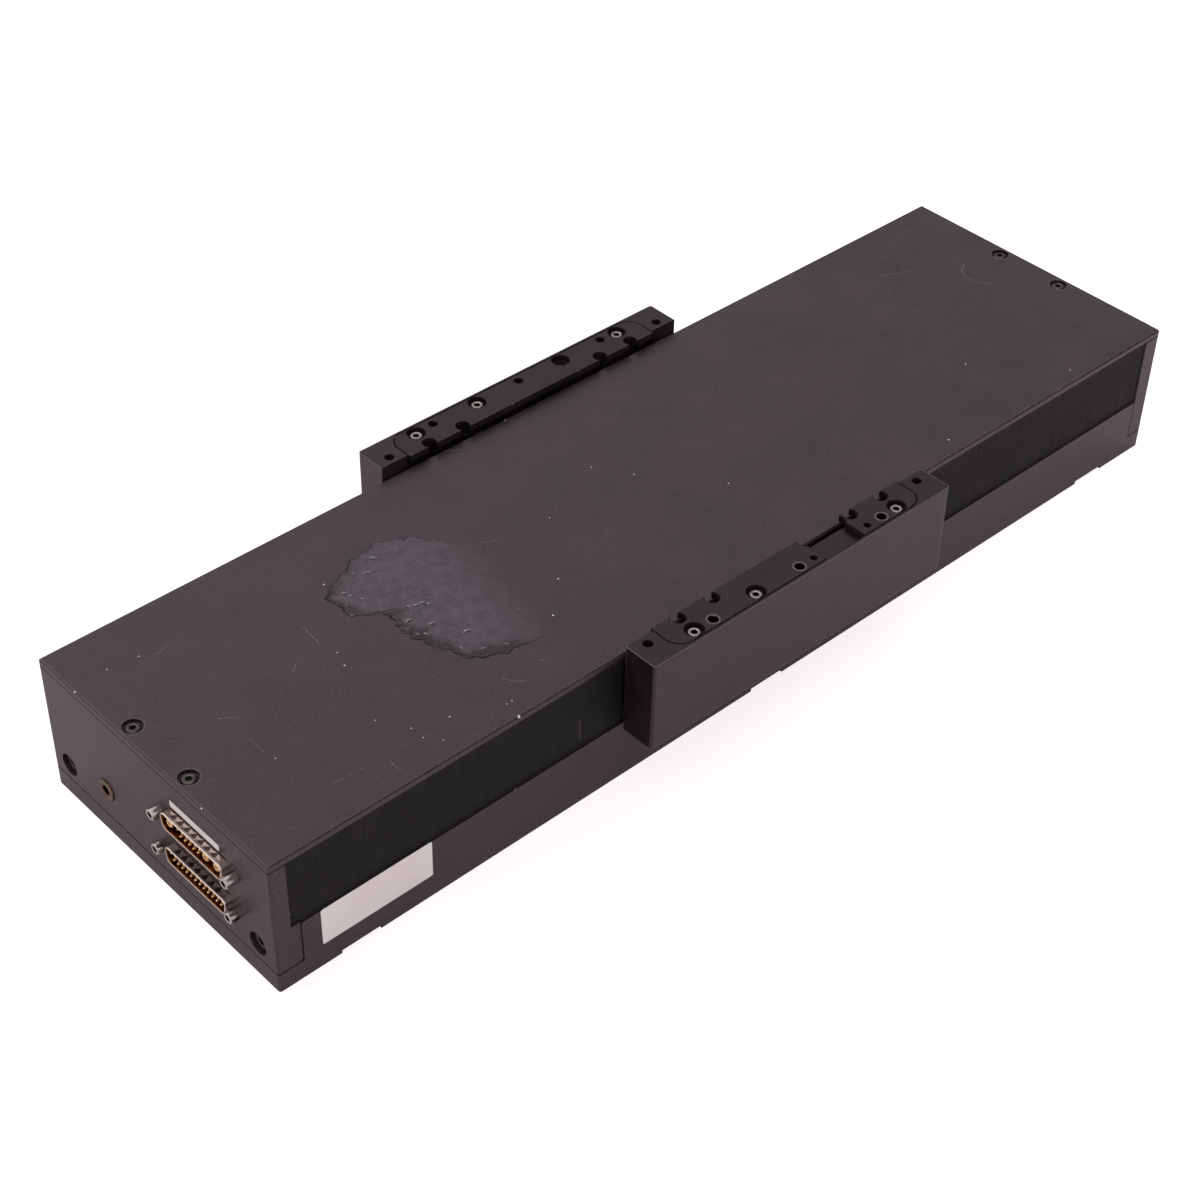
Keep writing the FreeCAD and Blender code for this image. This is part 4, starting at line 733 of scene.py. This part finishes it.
tinned = tinned_steel()
for use, z in (("power", POWER_Z), ("signal", SIGNAL_Z)):
    piece(f"{use}_plug_shell", plug_shell(z), tinned, "frame", "tinned_shell",
          f"{use}_connector_shell", sharp=50)

coat(moulded("insulator_moulding", colour(82, 43, 23), colour(116, 65, 36), 0.38, grain=1200),
     "power_connector_insulator", "signal_connector_insulator")

PIN = [(0, 0.51, ROUND), (3.1, 0.51, ROUND), (3.5, 0.42, ROUND), (3.72, 0.26, ROUND), (3.8, 0.1, ROUND)]
WIDE_CONTACT = [(0, 2.0, ROUND), (3.0, 2.0, ROUND), (3.4, 1.85, ROUND), (3.6, 1.5, ROUND),
                (3.65, 1.0, ROUND), (3.5, 0.75, ROUND), (3.2, 0.65, ROUND), (1.0, 0.6, ROUND)]
PIN_PITCH, PIN_ROW, PIN_FACE = 2.77, 1.42, -260.5
# each row of pins: the first one's Y, how many, and their Z
SIGNAL_ROWS = [(CONNECTOR_Y + 16.62, 13, SIGNAL_Z + PIN_ROW), (CONNECTOR_Y + 15.235, 12, SIGNAL_Z - PIN_ROW)]
POWER_ROWS = [(-20.88, 6, POWER_Z + PIN_ROW), (-22.265, 5, POWER_Z - PIN_ROW)]
WIDE_CONTACT_Y = (-15.0, -38.1, -45.0)


def pins(rows):
    """Rows of turned pins, one pitch apart towards -Y from the first."""
    return [turned(PIN, (PIN_FACE, first - PIN_PITCH * n, z), (-1, 0, 0), sides=12)
            for first, count, z in rows for n in range(count)]


def plated(name, metal, lumps, detail, dark, pale, smooth, rough):
    """Plated metal: a tone clouded between two colours, painted black as shade down its holes,
    rougher where it is pale.
    """
    made, tree, shader = finish(name, Metallic=metal)
    cloud = noise(tree, place(tree), lumps, detail)
    feed(tree, shader, Base_Color=recess_shaded(tree, clouded(tree, cloud, dark, pale)),
         Roughness=spread(tree, cloud, 0.3, 0.7, smooth, rough))
    return made


gold = plated("gold_plating", 0.6, 700, 4, colour(226, 168, 104), colour(250, 214, 158), 0.24, 0.38)
wide_contacts = [turned(WIDE_CONTACT, (PIN_FACE, y, POWER_Z), (-1, 0, 0), sides=24, bore=2)
                 for y in WIDE_CONTACT_Y]
piece("signal_pins", gathered(pins(SIGNAL_ROWS)), gold, "frame", "contact", "signal_connector_contacts")
piece("power_pins", gathered(pins(POWER_ROWS) + wide_contacts), gold, "frame", "contact",
      "power_connector_contacts")

# Jack posts and purge plug: hexagon posts of plated steel that clamp the connectors, turned off at the
# end and tapped. Beside them a brass plug with a hexagon socket, gone brown with age, is screwed in.
POST = [(0, 2.55, 2.38), (5.3, 2.75, 2.38), (5.85, 2.35, 2.38), (6.0, 2.15, ROUND), (6.0, 1.55, ROUND),
        (5.75, 1.3, ROUND), (5.4, 1.22, ROUND), (2.2, 1.2, ROUND)]
POST_FOOT, POST_ASIDE = -261.0, 23.52
post_steel = ground_steel("plated_post_steel", colour(132, 124, 121), colour(206, 197, 192), 0.11,
                          lay=(500, 60, 60))
posts = [turned(POST, (POST_FOOT, CONNECTOR_Y + side * POST_ASIDE, z), (-1, 0, 0), sides=36, bore=3)
         for z in (POWER_Z, SIGNAL_Z) for side in (-1, 1)]
piece("hexagon_posts", gathered(posts), post_steel, "frame", "steel", "jack_posts")

PLUG = [(0, 4.7, ROUND), (8.2, 4.9, ROUND), (8.6, 4.78, ROUND), (8.8, 4.5, ROUND), (8.8, 3.1, ROUND),
        (8.55, 2.75, 2.36), (8.2, ROUND, 2.25), (3.8, ROUND, 2.25), (3.2, 0.9, ROUND)]
PLUG_PLACE = (-253.0, 35.3, 24.75)


def aged_brass():
    """Brass gone brown: cloudy, lighter along its worn rim and painted black as shade down its socket."""
    made, tree, shader = finish("aged_brass", Metallic=1.0)
    cloud = noise(tree, place(tree), 300, 5, 0.65)
    rounded, rim = edge_wear_and_light(tree, 0.35 * MM)
    tone = clouded(tree, cloud, colour(78, 61, 49), colour(116, 95, 76))
    tone = recess_shaded(tree, tint(tree, rim, tone, colour(146, 120, 98)))
    feed(tree, shader, Base_Color=tone, Roughness=spread(tree, cloud, 0.3, 0.7, 0.28, 0.44))
    rough_skin(tree, shader, cloud, 0.1, 0.05 * MM, rounded)
    return made


piece("purge_plug_body", turned(PLUG, PLUG_PLACE, (-1, 0, 0), bore=3), aged_brass(), "frame", "brass",
      "purge_plug")

# Labels: two blank stickers of white paper film with rounded corners, one on the near wall and a narrow
# one over the upper connector, lying a tenth of a millimetre proud of the metal.

# height over the metal, and inset from the outline
LABEL_ROWS = [(-0.03, 0.0), (0.05, 0.0), (0.10, 0.05), (0.11, 0.16)]
LABEL_CORNER, NEAR_WALL_Y, END_PLATE_X = 0.3, -75.0, -261.0
# lowest and highest corner of each label, along its face and up
WALL_LABEL, END_LABEL = ((-240.0, 11.3), (-186.5, 29.95)), ((12.3, 51.8), (43.7, 55.0))


def sticker(low, high, lay):
    """A thin sheet: a rounded rectangle from low to high, raised over rows of height and inset.
    Lay turns the two flat measures and the height into places on the object."""
    left, bottom = np.array(low) + LABEL_CORNER
    right, top = np.array(high) - LABEL_CORNER
    core = [(left, bottom), (right, bottom), (right, top), (left, top)]
    return loft([lay(*rounded_loop(core, LABEL_CORNER, inset, 96).T, height) for height, inset in LABEL_ROWS])


def on_near_wall(x, z, height):
    """Places on the near wall, whose outside faces -Y."""
    return np.column_stack([x, np.full_like(x, NEAR_WALL_Y - height), z])


def on_end_plate(aside, z, height):
    """Places on the connector end plate, whose outside faces -X, measured towards -Y."""
    return np.column_stack([np.full_like(aside, END_PLATE_X - height), -aside, z])


def label_paper():
    """White paper film: a slight cloud, and greyer fibres with a fine grain."""
    made, tree, shader = finish("label_paper", Specular_IOR_Level=0.35)
    where = place(tree)
    fibre = noise(tree, where, 1400, 4, 0.65)
    tone = clouded(tree, noise(tree, where, 60, 4), colour(249, 240, 237), colour(255, 248, 246))
    tone = tint(tree, spread(tree, fibre, 0.5, 0.8, 0, 0.4), tone, colour(230, 227, 224))
    feed(tree, shader, Base_Color=tone, Roughness=spread(tree, fibre, 0.3, 0.7, 0.42, 0.6))
    rough_skin(tree, shader, fibre, 0.08, 0.03 * MM)
    return made


paper = label_paper()
piece("wall_label", sticker(*WALL_LABEL, on_near_wall), paper, "frame")
piece("end_label", sticker(*END_LABEL, on_end_plate), paper, "frame")

# Risers and their inserts: bars bolted to the saddle's arms outside the body, with hard anodised plates
# let into their tops. Bright cap screws hold the plates; tapped steel rims line the near payload holes.

# where the outer edges carry a painted highlight, near the front face and the ends
HIGHLIGHT_FRONT, HIGHLIGHT_END = (92.3, 92.7), (86.8, 87.2)


def highlit_riser():
    """The body's skin, smoother, with painted shade where it faces up and a painted highlight along the outer
    edges only.
    """
    made, tree, shader = anodised("anodised_riser", SKIN_DARK, colour(46, 39, 43), gloss=0.58, smooth=0.31)
    where = add(tree, "SeparateXYZ", {0: place(tree)}).outputs
    outer = strongest(tree, [spread(tree, reckon(tree, "ABSOLUTE", where[axis]), low * MM, high * MM)
                             for axis, (low, high) in (("Y", HIGHLIGHT_FRONT), ("X", HIGHLIGHT_END))])
    # painted highlight along the outer edges: a paler tone, less metal-like
    edge_highlight = times(tree, edge_wear_and_light(tree, 0.6 * MM)[1], outer)
    up = add(tree, "SeparateXYZ", {0: add(tree, "NewGeometry").outputs["Normal"]}).outputs["Z"]
    tone = shader.inputs["Base Color"].links[0].from_socket
    # painted shade: faces that look up get a darker tone
    tone = tint(tree, spread(tree, up, 0.85, 0.97), tone, colour(12, 10, 11))
    tone = tint(tree, edge_highlight, tone, colour(112, 104, 107))
    dull = reckon(tree, "SUBTRACT", shader.inputs["Metallic"].links[0].from_socket, edge_highlight)
    feed(tree, shader, Base_Color=tone, Metallic=dull)
    return made


coat(highlit_riser(), "near_riser", "far_riser")
coat(anodised("hard_anodised_insert", colour(3, 2, 3), colour(40, 34, 37), gloss=0.42, smooth=0.42)[0],
     "near_long_insert", "near_short_insert", "far_insert")

INSERT_SCREW = socket_head(radius=2.75, height=1.4, socket=2.5, rim=0.5, depth=0.9)
INSERT_SCREW_X, INSERT_SCREW_Y, INSERT_SEAT = (-60, -25, 60), 87, 70.1
screw_steel = ground_steel("stainless_screw", colour(122, 116, 114), colour(184, 178, 174), 0.2,
                           lay=(700, 700, 80))
insert_screws = [turned(INSERT_SCREW, (x, side * INSERT_SCREW_Y, INSERT_SEAT), (0, 0, 1), bore=SOCKET_ROWS)
                 for side in (-1, 1) for x in INSERT_SCREW_X]
piece("insert_screw_heads", gathered(insert_screws), screw_steel, "carriage", "steel", "insert_screws")

RIM = [(-0.4, 3.05, ROUND), (0.02, 3.05, ROUND), (0.06, 2.95, ROUND), (0.06, 2.5, ROUND),
       (-0.1, 2.2, ROUND), (-0.5, 2.06, ROUND), (-4.6, 2.02, ROUND), (-4.6, 2.12, ROUND)]
RIM_X, RIM_Y, RIM_TOP = (-50, 0, 50), -87.5, 72.5
rim_steel = plated("rim_steel", 0.5, 900, 3, colour(84, 77, 79), colour(110, 102, 104), 0.34, 0.48)
rims = [turned(RIM, (x, RIM_Y, RIM_TOP), (0, 0, 1), ring=True, bore=3) for x in RIM_X]
piece("payload_hole_rims", gathered(rims), rim_steel, "carriage", "insert")

# Studio: a white floor that keeps a soft shadow, a white room seen by the camera and by reflections, and
# three broad lamps. The camera stands to the left in front and looks down at the connector end.
FLOOR_HALF, FLOOR_TONE = 4, (0.63, 0.52, 0.545, 1.0)
# the floor's own glow to the camera and in reflections, and the room's strength as a light
FLOOR_SEEN, FLOOR_MIRRORED, ROOM_LIGHT = 0.74, 0.23, 0.57
WHITE = (1.0, 1.0, 1.0, 1.0)


def rays(tree):
    """Whether the camera sees a point straight, and whether it shows in a mirror or through glass."""
    path = add(tree, "LightPath").outputs
    return path["Is Camera Ray"], reckon(tree, "MAXIMUM", path["Is Glossy Ray"], path["Is Transmission Ray"])


floor_mesh = bpy.data.meshes.new("floor")
floor_mesh.from_pydata([(x * FLOOR_HALF, y * FLOOR_HALF, 0) for x, y in ((-1, -1), (1, -1), (1, 1), (-1, 1))],
                       [], [(0, 1, 2, 3)])
floor = bpy.data.objects.new("floor", floor_mesh)
bpy.context.scene.collection.objects.link(floor)
floor_finish, floor_tree, floor_shader = finish("white_floor", Roughness=0.9, Specular_IOR_Level=0.0,
                                                Base_Color=FLOOR_TONE, Emission_Color=WHITE)
floor_seen, floor_mirrored = rays(floor_tree)
floor_glow = reckon(floor_tree, "MAXIMUM", times(floor_tree, floor_seen, FLOOR_SEEN),
                    times(floor_tree, floor_mirrored, FLOOR_MIRRORED))
feed(floor_tree, floor_shader, Emission_Strength=floor_glow)
floor_mesh.materials.append(floor_finish)

# the room dims towards its right side, and is dark behind the viewer's right shoulder, which shows only
# in edges and bright metal
DARK_SIDE = (0.55, -0.65, 0.52)
room = bpy.data.worlds.new("white_room")
room.use_nodes = True
bpy.context.scene.world = room
room_tree = room.node_tree
room_seen, room_mirrored = rays(room_tree)
room_way = add(room_tree, "TexCoord").outputs["Generated"]
room_lean = vector(room_tree, "DOT_PRODUCT", room_way, DARK_SIDE)
room_right = add(room_tree, "SeparateXYZ", {0: room_way}).outputs["X"]
room_shade = times(room_tree, spread(room_tree, room_lean, 0.80, 0.97, 1.0, 0.05),
                   spread(room_tree, room_right, 0.35, 0.66, 1.0, 0.45))
room_shade = reckon(room_tree, "MAXIMUM", room_seen, room_shade)
room_white = spread(room_tree, reckon(room_tree, "MAXIMUM", room_seen, room_mirrored), 0, 1, ROOM_LIGHT, 1.0)
background = room_tree.nodes["Background"]
background.inputs["Color"].default_value = WHITE
feed(room_tree, background, Strength=times(room_tree, room_white, room_shade))


def aim(thing, away, roll=0.0):
    """Turns a lamp or the camera to look back along a direction: its right is level, then rolled about it."""
    away = np.array(away, float) / np.linalg.norm(away)
    level = np.cross((0, 0, 1), away)
    level = level / np.linalg.norm(level)
    right = np.cos(roll) * level + np.sin(roll) * np.cross(away, level)
    thing.rotation_euler = Matrix(np.column_stack([right, np.cross(away, right), away]).tolist()).to_euler()


# where each lamp stands, and its power
LAMPS = {"right_lamp": ((1.0, 0.55, 1.2), 11.0), "left_lamp": ((-0.9, 0.9, 1.3), 8.0),
         "front_lamp": ((0.9, -1.05, 0.8), 10.0)}
LAMP_SIZE = 1.2
for lamp_name, (spot, power) in LAMPS.items():
    lamp = bpy.data.lights.new(lamp_name, "AREA")
    lamp.size = LAMP_SIZE
    lamp.energy = power
    lamp_object = bpy.data.objects.new(lamp_name, lamp)
    lamp_object.location = spot
    lamp_object.visible_glossy = False
    aim(lamp_object, spot)
    bpy.context.scene.collection.objects.link(lamp_object)

VIEW_AZIMUTH, VIEW_ELEVATION, VIEW_ROLL = np.radians((-43.64628, 40.40854, 1.47388))
VIEW_FROM, VIEW_LENS, VIEW_SENSOR = (-0.571138, -0.568147, 0.683310), 70.284, 36.0
view_back = (np.sin(VIEW_AZIMUTH) * np.cos(VIEW_ELEVATION), -np.cos(VIEW_AZIMUTH) * np.cos(VIEW_ELEVATION),
             np.sin(VIEW_ELEVATION))
camera_data = bpy.data.cameras.new("camera")
camera_data.sensor_width = VIEW_SENSOR
camera_data.lens = VIEW_LENS
camera = bpy.data.objects.new("camera", camera_data)
camera.location = VIEW_FROM
aim(camera, view_back, VIEW_ROLL)
bpy.context.scene.collection.objects.link(camera)
bpy.context.scene.camera = camera
bpy.context.scene.view_settings.view_transform = "Standard"
